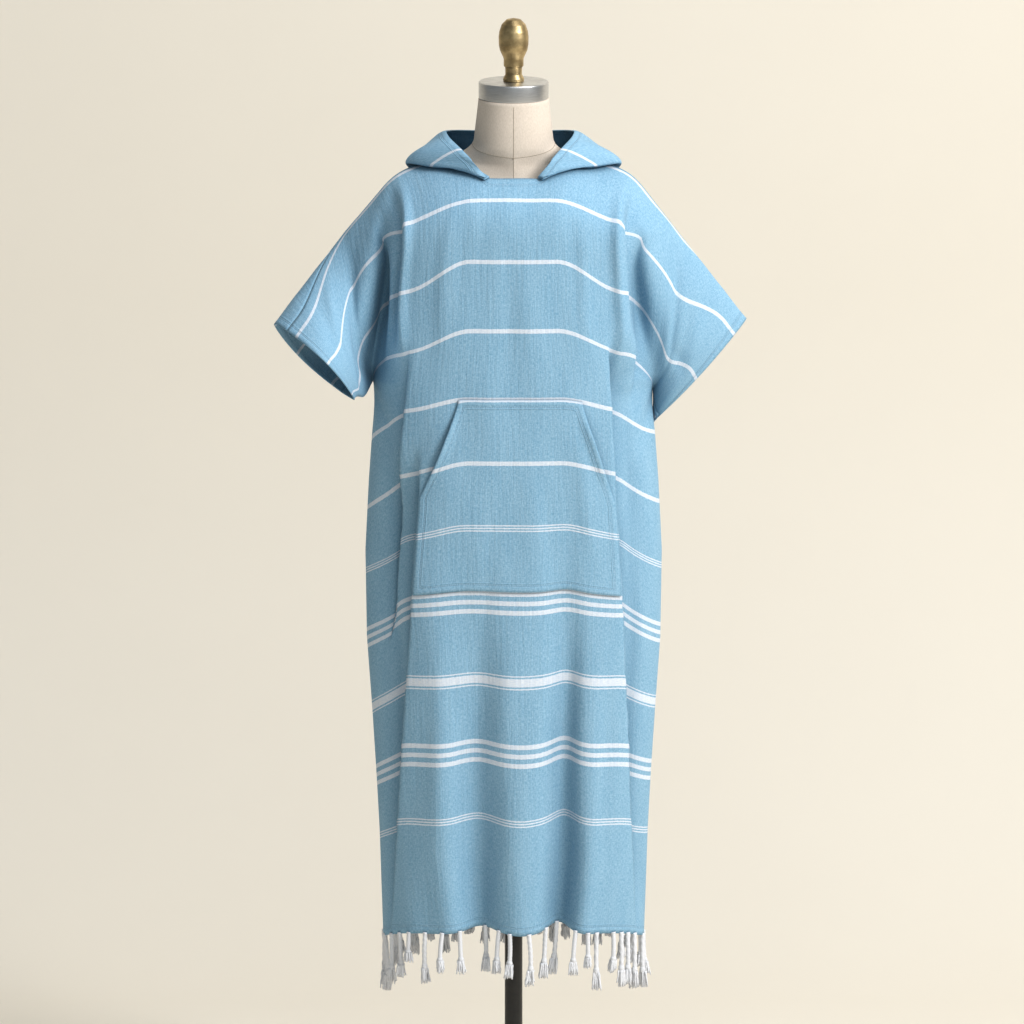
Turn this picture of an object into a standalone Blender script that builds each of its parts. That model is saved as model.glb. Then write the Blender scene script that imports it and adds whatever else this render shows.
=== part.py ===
"""A hooded bath poncho on a limbless dress form with a pole stand.

Metres, +Z up. The origin is the centre of the base's underside, the garment's front faces -Y.
Every point of the cloth is a function of two cloth measures: u, across from the centre line, and
s, along the length from the shoulder, positive down the front and negative down the back.
"""

from collections import namedtuple
from math import cos, pi, radians, sin

import bmesh
import bpy
import numpy as np

# Cloth
WALL = 0.0015                # thickness of the cloth
SEAM = 0.0003                # space between sewn pieces
LENGTH = 1.163               # shoulder to hem along the cloth
BODY_HALF = 0.320            # centre line to side seam along the cloth
SLEEVE_HALF = 0.443          # centre line to cuff along the cloth
ARMHOLE = 0.285              # shoulder to underarm along the cloth
RIDGE_HEIGHT = 1.4544        # shoulder line carried on to the centre
RIDGE_ROUND = 0.008          # softness of the shoulder line
SHOULDER_ANGLE = radians(18)
NECK_SAG = 0.010
SECTION_POWER = 2.6          # squareness of the body's section
SHOULDER_BLEND = 0.15        # length over which the back panel's grid leaves the front's
NECK_FLAT, NECK_HALF = 0.036, 0.095

# How each panel leaves the shoulder: its slope there, the cloth length to where it hangs plumb,
# how far its centre stands out beyond that, and the depth of its neckline.
Drape = namedtuple("Drape", "tilt hang_from belly neck_depth")
DRAPES = {1: Drape(radians(22), 0.160, 0.035, 0.055), -1: Drape(radians(10), 0.170, 0.022, 0.055)}

# Stand
CAP_TOP = 1.543
POLE_RADIUS = 0.0127
BASE_RADIUS, BASE_THICKNESS = 0.19, 0.014
FORM_BOTTOM = 0.80

# Hang of the cloth at each level: the section's half width, how far the side seam is drawn in
# under the arm, and how far a level line sinks at the shoulder's edge and again at the side seam.
Level = namedtuple("Level", "s half_width tuck edge_drop side_drop")
LEVELS = (
    Level(0.000, 0.200, 0.000, 0.042, 0.050),
    Level(0.095, 0.202, 0.000, 0.038, 0.050),
    Level(0.190, 0.204, 0.011, 0.046, 0.050),
    Level(0.285, 0.206, 0.022, 0.034, 0.047),
    Level(0.350, 0.207, 0.019, 0.024, 0.046),
    Level(0.390, 0.208, 0.014, 0.020, 0.046),
    Level(0.450, 0.210, 0.003, 0.022, 0.052),
    Level(0.550, 0.212, 0.000, 0.020, 0.056),
    Level(0.690, 0.210, 0.000, 0.008, 0.054),
    Level(0.800, 0.203, 0.000, 0.004, 0.044),
    Level(0.900, 0.197, 0.000, 0.004, 0.038),
    Level(1.000, 0.192, 0.000, 0.004, 0.028),
    Level(1.163, 0.187, 0.000, 0.004, 0.018),
)
TUCK_FROM = 0.215            # u where the side starts to be drawn in

# Long folds: the cloth outboard of the edge is drawn in by `take` and set back by `step`.
Fold = namedtuple("Fold", "panel side zone start end x_top x_end bend take step width")
FOLDS = (
    Fold(1, -1, 2, 0.02, 0.34, 0.172, 0.184, 2.0, 0.012, 0.018, 0.032),
    Fold(1, -1, 2, 0.26, 0.78, 0.141, 0.202, 1.0, 0.022, 0.018, 0.030),
    Fold(1, -1, 1, 0.43, 1.20, 0.129, 0.176, 0.9, 0.028, 0.026, 0.028),
    Fold(1, 1, 2, 0.02, 0.40, 0.170, 0.184, 2.0, 0.012, 0.018, 0.032),
    Fold(1, 1, 1, 0.25, 1.20, 0.130, 0.176, 0.8, 0.030, 0.028, 0.028),
    Fold(-1, -1, 1, 0.26, 1.22, 0.128, 0.150, 1.0, 0.030, 0.026, 0.030),
    Fold(-1, 1, 1, 0.30, 1.22, 0.142, 0.168, 1.0, 0.032, 0.028, 0.030),
)
ZONES = {1: 0.135, 2: 0.205}    # where a fold zone lies while no fold runs in it

# Soft flutes that grow towards the hem: set back by `depth` and lifted by `lift` there.
Flute = namedtuple("Flute", "panel u start depth lift width")
FLUTES = (
    Flute(1, -0.057, 0.50, 0.026, 0.006, 0.030),
    Flute(1, 0.012, 0.55, -0.009, -0.003, 0.030),
    Flute(1, 0.080, 0.42, 0.034, 0.010, 0.024),
    Flute(1, 0.128, 0.60, -0.006, 0.000, 0.022),
    Flute(1, -0.120, 0.60, -0.006, 0.000, 0.026),
    Flute(-1, -0.072, 0.34, 0.030, 0.006, 0.032),
    Flute(-1, 0.010, 0.44, -0.010, 0.000, 0.034),
    Flute(-1, 0.086, 0.38, 0.026, 0.006, 0.028),
)

# Sleeves: slope of the top line, swing of the hanging side towards the body, lead towards the
# front, roll of the shoulder line over the top, and the flattened tube's height at the cuff
# and at its root, and its depth.
Sleeve = namedtuple("Sleeve", "side slope swing lead roll height root_height depth")
SLEEVES = (
    Sleeve(-1, radians(50.0), radians(46), radians(16), -0.045, 0.160, 0.216, 0.072),
    Sleeve(1, radians(52.5), radians(41.0), radians(-3), 0.045, 0.212, 0.232, 0.042),
)

# Valleys between body and sleeve: u at the top and at the foot, start and end along the cloth.
Valley = namedtuple("Valley", "panel side u_top u_low start end depth width")
VALLEYS = (
    Valley(1, -1, 0.206, 0.266, 0.015, 0.285, 0.024, 0.024),
    Valley(1, 1, 0.208, 0.246, 0.030, 0.285, 0.014, 0.020),
)
UNDERARM_FACING = {-1: (0.0, -0.12, -1.0), 1: (0.09, 0.0, -1.0)}    # the cloth's corner there
UNDERARM_EASED = 0.36        # the side seam stands twice as far open down to here
SLEEVE_ROOT = 0.288          # u where lead and roll set in
SLEEVE_EDGE = 0.950          # sharpness of the sleeve's top and bottom edges, 1 is a knife edge
SWING_FROM, SWING_POWER = 0.20, 1.6           # u where the swing starts, and how late it comes

# Hood, lying behind the neck as a bag: where it is sewn (u, s), where its lower fold lies on the
# garment (u, s), and where its face edge stands, as x, y, z.
HoodSection = namedtuple("HoodSection", "neck_u neck_s fold_u fold_s rim_x rim_y rim_z puff")
HOOD = (
    HoodSection(0.0385, 0.0545, 0.056, 0.0660, 0.044, -0.078, 1.427, 0.003),
    HoodSection(0.0560, 0.0460, 0.082, 0.0470, 0.056, -0.066, 1.441, 0.004),
    HoodSection(0.0770, 0.0250, 0.122, 0.0270, 0.074, -0.044, 1.457, 0.007),
    HoodSection(0.0940, 0.0020, 0.156, 0.0000, 0.092, -0.012, 1.470, 0.010),
    HoodSection(0.0860, -0.0160, 0.160, -0.0480, 0.097, 0.022, 1.474, 0.016),
    HoodSection(0.0680, -0.0380, 0.142, -0.1150, 0.083, 0.056, 1.470, 0.026),
    HoodSection(0.0460, -0.0520, 0.098, -0.1900, 0.055, 0.078, 1.465, 0.034),
    HoodSection(0.0230, -0.0550, 0.046, -0.2350, 0.027, 0.088, 1.462, 0.038),
    HoodSection(0.0000, -0.0550, 0.000, -0.2500, 0.000, 0.091, 1.461, 0.040),
)
RIM_SPREAD = {-1: 1.0, 1: 0.90}     # how wide the face edge stands on each side
HOOD_SEATED, HOOD_CLEAR = 0.0016, 0.0060

# Pocket: half width at each level of the cloth.
PocketRow = namedtuple("PocketRow", "s half_width")
POCKET = (
    PocketRow(0.389, 0.094),
    PocketRow(0.420, 0.104),
    PocketRow(0.450, 0.116),
    PocketRow(0.481, 0.127),
    PocketRow(0.512, 0.141),
    PocketRow(0.540, 0.150),
    PocketRow(0.585, 0.153),
    PocketRow(0.628, 0.154),
    PocketRow(0.668, 0.154),
)
POCKET_CENTRE = 0.009
POCKET_LIFT, POCKET_EASE = 0.0004, 0.0014    # clear of the panel, and where it is narrower
POCKET_COLUMNS, POCKET_EDGE = 4, 0.004

# Fringe: the front hem's knotted tassels, as place across, length and sideways lean. The back
# hem's are as uneven, and set out by a rule.
Tassel = namedtuple("Tassel", "u length lean")
FRONT_TASSELS = (
    Tassel(-0.291, 0.084, 0.003),
    Tassel(-0.241, 0.074, 0.000),
    Tassel(-0.217, 0.066, 0.002),
    Tassel(-0.193, 0.044, -0.001),
    Tassel(-0.160, 0.076, 0.001),
    Tassel(-0.128, 0.059, -0.003),
    Tassel(-0.096, 0.063, 0.003),
    Tassel(-0.051, 0.069, 0.000),
    Tassel(-0.026, 0.064, -0.003),
    Tassel(-0.007, 0.066, -0.003),
    Tassel(0.027, 0.076, 0.001),
    Tassel(0.058, 0.075, -0.004),
    Tassel(0.077, 0.079, -0.007),
    Tassel(0.111, 0.066, -0.004),
    Tassel(0.133, 0.052, 0.000),
    Tassel(0.150, 0.085, 0.000),
    Tassel(0.182, 0.059, -0.002),
    Tassel(0.199, 0.080, -0.001),
    Tassel(0.216, 0.077, -0.001),
    Tassel(0.238, 0.082, -0.001),
    Tassel(0.289, 0.080, 0.001),
)
BACK_TASSELS = 24            # on the back hem, less those that a fold would press together
TASSEL_CLEAR = 0.0135
STRIP_HEIGHT = 0.004
CORD_HALF, TUFT_HALF = 0.0021, 0.0045

FORM_CLOTH = (0.80, 0.73, 0.62)
TOWEL_BLUE = (0.22, 0.45, 0.66)
FRINGE_WHITE = (0.86, 0.86, 0.88)
STEEL = (0.62, 0.62, 0.63)
BRASS = (0.42, 0.30, 0.15)
BLACK = (0.012, 0.012, 0.012)


def smooth(value):
    """0 below 0, 1 above 1, and a smooth step between."""
    t = np.clip(value, 0.0, 1.0)
    return t * t * (3.0 - 2.0 * t)


def level(s, column):
    """One column of LEVELS at cloth length s."""
    return np.interp(s, [row.s for row in LEVELS], [getattr(row, column) for row in LEVELS])


def running_sum(values, step):
    """Trapezoid integral of evenly spaced values."""
    return np.concatenate([[0.0], np.cumsum((values[1:] + values[:-1]) / 2.0) * step])


def hang(drape):
    """Cloth length from the shoulder, with its reach from the shoulder line and its fall there."""
    s = np.linspace(0.0, LENGTH + 0.02, 1200)
    full = radians(90) - drape.tilt
    tilt = drape.tilt * np.tanh(s / RIDGE_ROUND) + full * np.clip(s / drape.hang_from, 0.0, 1.0)
    step = s[1] - s[0]
    return s, running_sum(np.cos(tilt), step), running_sum(np.sin(tilt), step)


def ridge(slope):
    """Cloth measure u along the shoulder line and the sleeve's top, with its x and z."""
    u = np.linspace(0.0, SLEEVE_HALF + 0.01, 700)
    turn = SHOULDER_ANGLE * smooth(u / 0.08) + (slope - SHOULDER_ANGLE) * smooth((u - 0.135) / 0.075)
    step = u[1] - u[0]
    return u, running_sum(np.cos(turn), step), RIDGE_HEIGHT - running_sum(np.sin(turn), step)


HANG = {panel: hang(drape) for panel, drape in DRAPES.items()}
RIDGES = {sleeve.side: ridge(sleeve.slope) for sleeve in SLEEVES}


def body_depth(panel, s):
    """Half depth of the body's section at the centre line."""
    reach = np.interp(s, HANG[panel][0], HANG[panel][1])
    return reach + DRAPES[panel].belly * smooth(s / 0.12)


def quarter(half_width, depth):
    """Arc length, x and y along a quarter of the section, from the centre to the side."""
    angle = pi / 2 * smooth(np.linspace(0.0, 1.0, 200))
    power = 2.0 / SECTION_POWER
    x = half_width * np.sin(angle) ** power
    y = -depth * np.cos(angle) ** power
    arc = np.concatenate([[0.0], np.cumsum(np.hypot(np.diff(x), np.diff(y)))])
    return arc, x, y


def fold_strength(fold, s):
    """How much of a fold shows at cloth length s."""
    rise = smooth((s - fold.start) / 0.12)
    return rise * (1.0 - smooth((s - fold.end + 0.16) / 0.16))


def fold_places(panel, side, s):
    """Each fold's strength and the u where it starts, the scale of cloth to arc, and the section."""
    arc, x_base, y_base = quarter(float(level(s, "half_width")), float(body_depth(panel, s)))
    folds = [f for f in FOLDS if f.panel == panel and f.side == side]
    strengths = [float(fold_strength(f, s)) for f in folds]
    scale = arc[-1] / (BODY_HALF - sum(f.take * k for f, k in zip(folds, strengths)))
    edges = []
    for fold in folds:
        along = np.clip((s - fold.start) / (min(fold.end, LENGTH) - fold.start), 0.0, 1.0)
        x_edge = fold.x_top + (fold.x_end - fold.x_top) * along ** fold.bend
        edges.append(float(np.interp(x_edge, x_base, arc)) / scale)
    starts = [edge + sum(f.take * k for f, k, e in zip(folds, strengths, edges) if e < edge)
              for edge in edges]
    return folds, strengths, starts, scale, (arc, x_base, y_base)


def section_row(panel, side, s, u):
    """x and y of the body's cloth at one level, for distances u from the centre on one side."""
    folds, strengths, starts, scale, (arc, x_base, y_base) = fold_places(panel, side, s)
    drawn, back = np.zeros_like(u), np.zeros_like(u)
    for fold, strength, start in zip(folds, strengths, starts):
        passed = smooth((u - start) / fold.width)
        drawn += fold.take * strength * passed
        home = 1.0 - smooth((u - BODY_HALF + 0.095) / 0.090)
        back += fold.step * strength * passed * home
    run = np.clip(scale * (np.minimum(u, BODY_HALF) - drawn), 0.0, arc[-1])
    tuck = float(level(s, "tuck")) * smooth((u - TUCK_FROM) / (BODY_HALF - TUCK_FROM))
    slope_x, slope_y = np.gradient(x_base, arc + 1e-9), np.gradient(y_base, arc + 1e-9)
    x = np.interp(run, arc, x_base) - back * np.interp(run, arc, slope_y) - tuck
    y = np.interp(run, arc, y_base) + back * np.interp(run, arc, slope_x)
    return side * x, y


def body_points(u, s):
    """The cloth as it hangs round the body, for arrays u and s of one shape."""
    x, y = np.zeros_like(u), np.zeros_like(u)
    length = np.abs(s)
    keys = np.stack([np.sign(s), np.round(length, 7)], axis=-1).reshape(-1, 2)
    for panel, row_s in np.unique(keys, axis=0):
        here = (np.sign(s) == panel) & (np.round(length, 7) == row_s)
        for side in (-1, 1):
            take = here & (np.where(u < 0, -1, 1) == side)
            x[take], y[take] = section_row(panel, side, row_s, np.abs(u[take]))
    ramp = smooth(length / 0.19)
    across = np.abs(u)
    ridge_x, ridge_z = ridge_points(u)
    front = s > 0
    depth = np.where(front, body_depth(1, length), body_depth(-1, length))
    spread = -depth + ramp * (y + depth)
    drop = level(length, "edge_drop") * smooth((across - 0.07) / 0.11)
    drop = drop + level(length, "side_drop") * smooth((across - 0.165) / 0.12)
    sag = NECK_SAG * smooth(length / 0.05) * (1.0 - smooth((length - 0.05) / 0.12))
    sag = sag * (1.0 - smooth(across / 0.12)) * (s > 0)
    fall_front, fall_back = (np.interp(length, HANG[k][0], HANG[k][2]) for k in (1, -1))
    centre = np.where(front, 0.0, 1.0 - smooth((across - 0.165) / 0.12))
    fall = fall_front + (fall_back - fall_front) * centre
    z = ridge_z * (1.0 - ramp) + (RIDGE_HEIGHT - drop) * ramp - fall - sag
    side_x = smooth(length / 0.15)
    x = ridge_x * (1.0 - side_x) + x * side_x
    flute_y, flute_z = flutes(u, s)
    return np.stack([x, np.sign(s) * (spread + flute_y), z + flute_z], axis=-1)


def flutes(u, s):
    """Set-back and lift of the soft flutes near the hem."""
    back, lift = np.zeros_like(u), np.zeros_like(u)
    for flute in FLUTES:
        grown = smooth((np.abs(s) - flute.start) / (LENGTH - flute.start)) * (np.sign(s) == flute.panel)
        hump = np.exp(-(((u - flute.u) / flute.width) ** 2)) * grown
        back += flute.depth * hump
        lift += flute.lift * hump
    return back, lift


def ridge_points(u):
    """x and z of the shoulder line and sleeve top at u."""
    across = np.abs(u)
    right = u >= 0
    x = np.where(right, np.interp(across, RIDGES[1][0], RIDGES[1][1]),
                 -np.interp(across, RIDGES[-1][0], RIDGES[-1][1]))
    z = np.where(right, np.interp(across, RIDGES[1][0], RIDGES[1][2]),
                 np.interp(across, RIDGES[-1][0], RIDGES[-1][2]))
    return x, z


def sleeve_points(u, s, sleeve):
    """The cloth as it hangs in one sleeve: a flattened tube swung in towards the body."""
    across = np.abs(u)
    ridge_x, ridge_z = ridge_points(u)
    roll = sleeve.roll * smooth((across - SLEEVE_ROOT) / 0.13)
    angle = pi * (np.clip(s, -ARMHOLE, ARMHOLE) - roll) / ARMHOLE
    rounding = np.arccos(SLEEVE_EDGE)
    fall = (np.arccos(SLEEVE_EDGE * np.cos(angle)) - rounding) / (pi - 2.0 * rounding)
    at_root = 1.0 - smooth((across - 0.30) / 0.14)
    fall = fall * (sleeve.height + (sleeve.root_height - sleeve.height) * at_root)
    swung = np.clip((across - SWING_FROM) / (SLEEVE_HALF - SWING_FROM), 0.0, 1.05)
    swing = sleeve.swing * swung ** SWING_POWER
    forward = np.clip(across - SLEEVE_ROOT, 0.0, None) * 1.75 * sin(sleeve.lead)
    depth = sleeve.depth * np.sin(angle)
    x = ridge_x - sleeve.side * fall * np.sin(swing)
    shear = depth * sin(sleeve.lead) * (1.0 - at_root)
    x = x - sleeve.side * cos(sleeve.slope) * shear
    z = ridge_z - fall * np.cos(swing) + sin(sleeve.slope) * shear
    return np.stack([x, -forward - depth, z], axis=-1)


def valleys(u, s):
    """How far the valleys between body and sleeve are set in, front to back."""
    inward = np.zeros_like(u)
    for valley in VALLEYS:
        along = (s * valley.panel - valley.start) / (valley.end - valley.start)
        middle = valley.u_top + (valley.u_low - valley.u_top) * along
        grown = smooth(along / 0.35) * smooth((1.0 - along) / 0.35)
        hollow = np.exp(-(((u * valley.side - middle) / valley.width) ** 2))
        inward = inward + valley.panel * valley.depth * hollow * grown
    return np.stack([0.0 * u, inward, 0.0 * u], axis=-1)


def garment(u, s):
    """Any point of the cloth: body and sleeves blended across the armhole."""
    u, s = np.broadcast_arrays(np.asarray(u, float), np.asarray(s, float))
    across, length = np.abs(u), np.abs(s)
    out = smooth((across - 0.195) / 0.09)
    down = smooth((length - 0.18) / 0.21)
    weight = (out * (1.0 - down * (1.0 - smooth((across - BODY_HALF) / 0.07))))[..., None]
    sleeved = np.where((u < 0)[..., None], sleeve_points(u, s, SLEEVES[0]),
                       sleeve_points(u, s, SLEEVES[1]))
    return body_points(u, s) * (1.0 - weight) + sleeved * weight + valleys(u, s)


def garment_normals(u, s):
    """Outward unit normals of the cloth, from the slopes of its points."""
    reach = 0.003
    along = garment(u, s + reach) - garment(u, s - reach)
    across = garment(u + reach, s) - garment(u - reach, s)
    normal = np.cross(along, across)
    return normal / np.maximum(np.linalg.norm(normal, axis=-1, keepdims=True), 1e-12)


def neckline(u, depth):
    """Cloth length from the shoulder to the neck edge at u."""
    return depth * (1.0 - smooth((np.abs(u) - NECK_FLAT) / (NECK_HALF - NECK_FLAT)))


def add_material(obj, name, colour, roughness, metallic):
    """A Principled material of one finish."""
    material = bpy.data.materials.get(name) or bpy.data.materials.new(name)
    material.use_nodes = True
    shader = material.node_tree.nodes["Principled BSDF"]
    shader.inputs["Base Color"].default_value = (*colour, 1.0)
    shader.inputs["Roughness"].default_value = roughness
    shader.inputs["Metallic"].default_value = metallic
    obj.data.materials.append(material)


def add_object(name, points, faces):
    """A mesh object at the world's origin."""
    mesh = bpy.data.meshes.new(name)
    mesh.from_pydata([tuple(p) for p in points], [], faces)
    mesh.update()
    obj = bpy.data.objects.new(name, mesh)
    bpy.context.collection.objects.link(obj)
    return obj


def sheet_faces(rows, columns, keep, flip):
    """Faces of a closed wall between an outer and an inner grid, where keep marks the cells."""
    half = rows * columns

    def point(i, j, layer):
        return layer * half + i * columns + j

    faces = []
    for i in range(rows - 1):
        for j in range(columns - 1):
            if not keep[i, j]:
                continue
            corners = [(i, j), (i + 1, j), (i + 1, j + 1), (i, j + 1)]
            for a, b, c in ((0, 1, 2), (0, 2, 3)):
                faces.append([point(*corners[k], 0) for k in (a, b, c)])
                faces.append([point(*corners[k], 1) for k in (c, b, a)])
            beside = ((i, j - 1), (i + 1, j), (i, j + 1), (i - 1, j))
            for k, (bi, bj) in enumerate(beside):
                inside = 0 <= bi < rows - 1 and 0 <= bj < columns - 1 and keep[bi, bj]
                if not inside:
                    a, b = corners[k], corners[(k + 1) % 4]
                    faces.append([point(*b, 0), point(*a, 0), point(*a, 1), point(*b, 1)])
    return [face[::-1] for face in faces] if flip else faces


def add_wall(name, outer, inner, keep=None, flip=False):
    """A closed wall between two grids of points."""
    rows, columns = outer.shape[:2]
    keep = np.ones((rows - 1, columns - 1), bool) if keep is None else keep
    faces = sheet_faces(rows, columns, keep, flip)
    points = np.concatenate([outer.reshape(-1, 3), inner.reshape(-1, 3)])
    used = sorted({index for face in faces for index in face})
    place = {old: new for new, old in enumerate(used)}
    return add_object(name, points[used], [[place[i] for i in face] for face in faces])


def half_knots(panel, side, s):
    """Where the two fold zones start; at the shoulder seam both panels have the same places."""
    folds, strengths, starts, _, _ = fold_places(panel, side, s)
    zones = {}
    for zone, rest in ZONES.items():
        parts = [(k + 1e-6, start) for f, k, start in zip(folds, strengths, starts) if f.zone == zone]
        weight = sum(k for k, _ in parts)
        zones[zone] = sum(k * start for k, start in parts) / weight if parts else rest
    first = min(zones[1], 0.225)
    second = min(max(zones[2], first + 0.040), 0.270)
    own = np.array([first, second])
    if panel < 0 and s < SHOULDER_BLEND:
        shared = half_knots(1, side, 0.0)
        own = shared + (own - shared) * smooth(s / SHOULDER_BLEND)
    return own


def half_columns(panel, side, s):
    """Places across half a panel at one level: closer together where the long folds lie."""
    first, second = half_knots(panel, side, s)
    knots = (0.0, first, first + 0.030, second, second + 0.030, BODY_HALF, SLEEVE_HALF)
    counts = (5, 3, 1, 3, 2, 4)
    spans = [np.linspace(a, b, n + 1)[1:] for a, b, n in zip(knots, knots[1:], counts)]
    return np.concatenate([[0.0], *spans])


def panel_rows():
    """Places down a panel, in cloth length from the shoulder."""
    upper = np.linspace(0.0, ARMHOLE, 10)
    pocket = np.array([0.320, 0.354, POCKET[0].s])
    middle = np.array([row.s for row in POCKET[1:]])
    lower = np.linspace(POCKET[-1].s, LENGTH, 10)[1:]
    return np.concatenate([upper, pocket, middle, lower])


def panel_grid(panel):
    """u and s of a panel's grid, its seam edges half a seam's gap in, and the cells it has."""
    rows = panel_rows()
    u = np.array([np.concatenate([-half_columns(panel, -1, row)[:0:-1], half_columns(panel, 1, row)])
                  for row in rows])
    s = np.repeat(rows[:, None], u.shape[1], axis=1)
    keep = (s[:-1, :-1] < ARMHOLE - 0.001) | (
        (np.abs(u[:-1, :-1]) < BODY_HALF + 0.001) & (np.abs(u[:-1, 1:]) < BODY_HALF + 0.001))
    gap = SEAM / 2.0
    edge = np.maximum(neckline(u, DRAPES[panel].neck_depth), gap)
    s = np.where(s < ARMHOLE / 2, edge + s * (1.0 - edge / (ARMHOLE / 2)), s)
    side = np.isclose(np.abs(u), BODY_HALF) & (s > ARMHOLE - 0.001)
    u = np.where(side, np.sign(u) * (BODY_HALF - np.where(s < UNDERARM_EASED, SEAM, gap)), u)
    under = np.isclose(s, ARMHOLE) & (np.abs(u) > BODY_HALF - 0.001)
    s = np.where(under, ARMHOLE - SEAM, s)
    return u, s * panel, keep


def unit(vectors):
    """Vectors at length one."""
    return vectors / np.maximum(np.linalg.norm(vectors, axis=-1, keepdims=True), 1e-12)


def grid_normals(points, keep):
    """Unit normals at a grid's corners: the faces that meet there, weighted by their angles."""
    total = np.zeros_like(points)
    rows, columns = keep.shape
    for places in (((0, 0), (1, 0), (1, 1)), ((0, 0), (1, 1), (0, 1))):
        corners = [points[i:rows + i, j:columns + j] for i, j in places]
        for k, (i, j) in enumerate(places):
            ahead, behind = unit(corners[(k + 1) % 3] - corners[k]), unit(corners[k - 1] - corners[k])
            total[i:rows + i, j:columns + j] += np.cross(ahead, behind) * keep[..., None]
    return unit(total)


def panel_layers(panel):
    """A panel's outer points and their normals, which the two panels share along their seams."""
    u, s, keep = panel_grid(panel)
    outer = garment(u, s)
    normals = grid_normals(outer, keep) * panel
    other_u, other_s, other_keep = panel_grid(-panel)
    other = grid_normals(garment(other_u, other_s), other_keep) * -panel
    seam = (np.abs(s) < 0.001) | ((np.abs(u) > BODY_HALF - 0.001) & (np.abs(s) > ARMHOLE - 0.001))
    normals = np.where(seam[..., None], unit(normals + other), normals)
    corner = (np.abs(np.abs(u) - BODY_HALF) < 0.001) & (np.abs(np.abs(s) - ARMHOLE) < 0.001)
    for side, facing in UNDERARM_FACING.items():
        normals = np.where((corner & (np.sign(u) == side))[..., None], unit(np.array(facing)), normals)
    return u, s, outer, normals, keep


def build_panel(name, panel):
    """Front or back, with half of each sleeve in one piece."""
    _, _, outer, normals, keep = panel_layers(panel)
    obj = add_wall(name, outer, outer - normals * WALL, keep, flip=panel < 0)
    add_material(obj, "towel_blue", TOWEL_BLUE, 0.85, 0.0)


def pocket_places(u_panel, side, half_width):
    """Places across half the pocket: the panel's own columns, then the pocket's edge."""
    columns = np.sort(np.abs(u_panel[np.sign(u_panel) == side]))[:POCKET_COLUMNS + 1]
    edge = min(half_width + side * POCKET_CENTRE, columns[-1] - POCKET_EDGE)
    inner = columns[:-1] * min(1.0, (edge - 2 * POCKET_EDGE) / columns[-2])
    return side * np.concatenate([inner, [edge]])


def build_pocket():
    """Kangaroo pocket: the front panel's own points, moved out, narrower where hands go in."""
    u_panel, _, outer, normals, _ = panel_layers(1)
    rows = panel_rows()
    points, lifts = [], []
    for row in POCKET:
        i = int(np.argmin(np.abs(rows - row.s)))
        left, right = (pocket_places(u_panel[i], side, row.half_width) for side in (-1, 1))
        u = np.concatenate([left[::-1], [0.0], right])
        both = [[np.interp(u, u_panel[i], grid[i, :, k]) for k in range(3)] for grid in (outer, normals)]
        points.append(np.array(both).transpose(0, 2, 1))
        narrow = 1.0 - row.half_width / POCKET[-1].half_width
        lifts.append(POCKET_LIFT + POCKET_EASE * smooth(narrow / 0.1))
    base, normal = np.stack(points, axis=1)
    inner = base + normal * np.array(lifts)[:, None, None]
    obj = add_wall("kangaroo_pocket", inner + normal * WALL, inner)
    add_material(obj, "towel_blue", TOWEL_BLUE, 0.85, 0.0)


def tassels(panel, hem_u):
    """The knotted tassels of one hem, uneven in spacing, length and lean, clear of hem_u."""
    rows = FRONT_TASSELS if panel > 0 else uneven_tassels(BACK_TASSELS)
    kept, feet = [], []
    for u, length, lean in rows:
        nearest = hem_u[int(np.argmin(np.abs(hem_u - u)))]
        if abs(u - nearest) < CORD_HALF + 0.001:
            u = nearest + (CORD_HALF + 0.0012) * (1.0 if u > nearest else -1.0)
        foot = garment(u, panel * LENGTH)[:2] + np.array([lean, 0.0])
        if all(np.hypot(*(foot - other)) > TASSEL_CLEAR for other in feet):
            feet.append(foot)
            kept.append(Tassel(u, length, lean))
    return kept


def uneven_tassels(count):
    """A row of tassels from side seam to side seam, none quite like the next."""
    rng = np.random.default_rng(17)
    spacing = 2.0 * (BODY_HALF - 0.012) / (count - 1)
    places = -BODY_HALF + 0.012 + np.arange(count) * spacing
    places = places + rng.uniform(-0.3, 0.3, count) * (spacing - 0.006)
    lengths, leans = rng.uniform(0.055, 0.088, count), rng.uniform(-0.007, 0.007, count)
    return [Tassel(*row) for row in zip(places, lengths, leans)]


def build_fringe(name, panel):
    """A narrow strip under the hem with its tassels drawn out of the strip's lower face."""
    u_panel, _, outer, normals, _ = panel_layers(panel)
    body = np.abs(u_panel[-1]) < BODY_HALF + 0.001
    hem_u, hem, hem_normals = u_panel[-1][body], outer[-1][body], normals[-1][body]
    rows = tassels(panel, hem_u)
    edges = [t.u + k * CORD_HALF for t in rows for k in (-1, 1)]
    u = np.sort(np.concatenate([[-BODY_HALF + 0.002], edges, hem_u[1:-1], [BODY_HALF - 0.002]]))
    columns = len(u)
    top = np.stack([np.interp(u, hem_u, hem[:, k]) for k in range(3)], axis=-1)
    normal = np.stack([np.interp(u, hem_u, hem_normals[:, k]) for k in range(3)], axis=-1)
    down = np.array([0.0, 0.0, -1.0])
    strip = np.stack([top + down * SEAM, top + down * (SEAM + STRIP_HEIGHT)])
    flip = panel < 0
    faces = sheet_faces(2, columns, np.ones((1, columns - 1), bool), flip)
    points = list(np.concatenate([strip.reshape(-1, 3), (strip - normal * WALL).reshape(-1, 3)]))
    for tassel in rows:
        j = int(np.argmin(np.abs(u - (tassel.u - CORD_HALF))))
        root = [columns + j, columns + j + 1, 3 * columns + j + 1, 3 * columns + j]
        faces = [face for face in faces if set(face) != set(root)]
        add_strand(points, faces, root, tassel, flip)
    obj = add_object(name, points, faces)
    add_material(obj, "fringe_white", FRINGE_WHITE, 0.9, 0.0)


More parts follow.
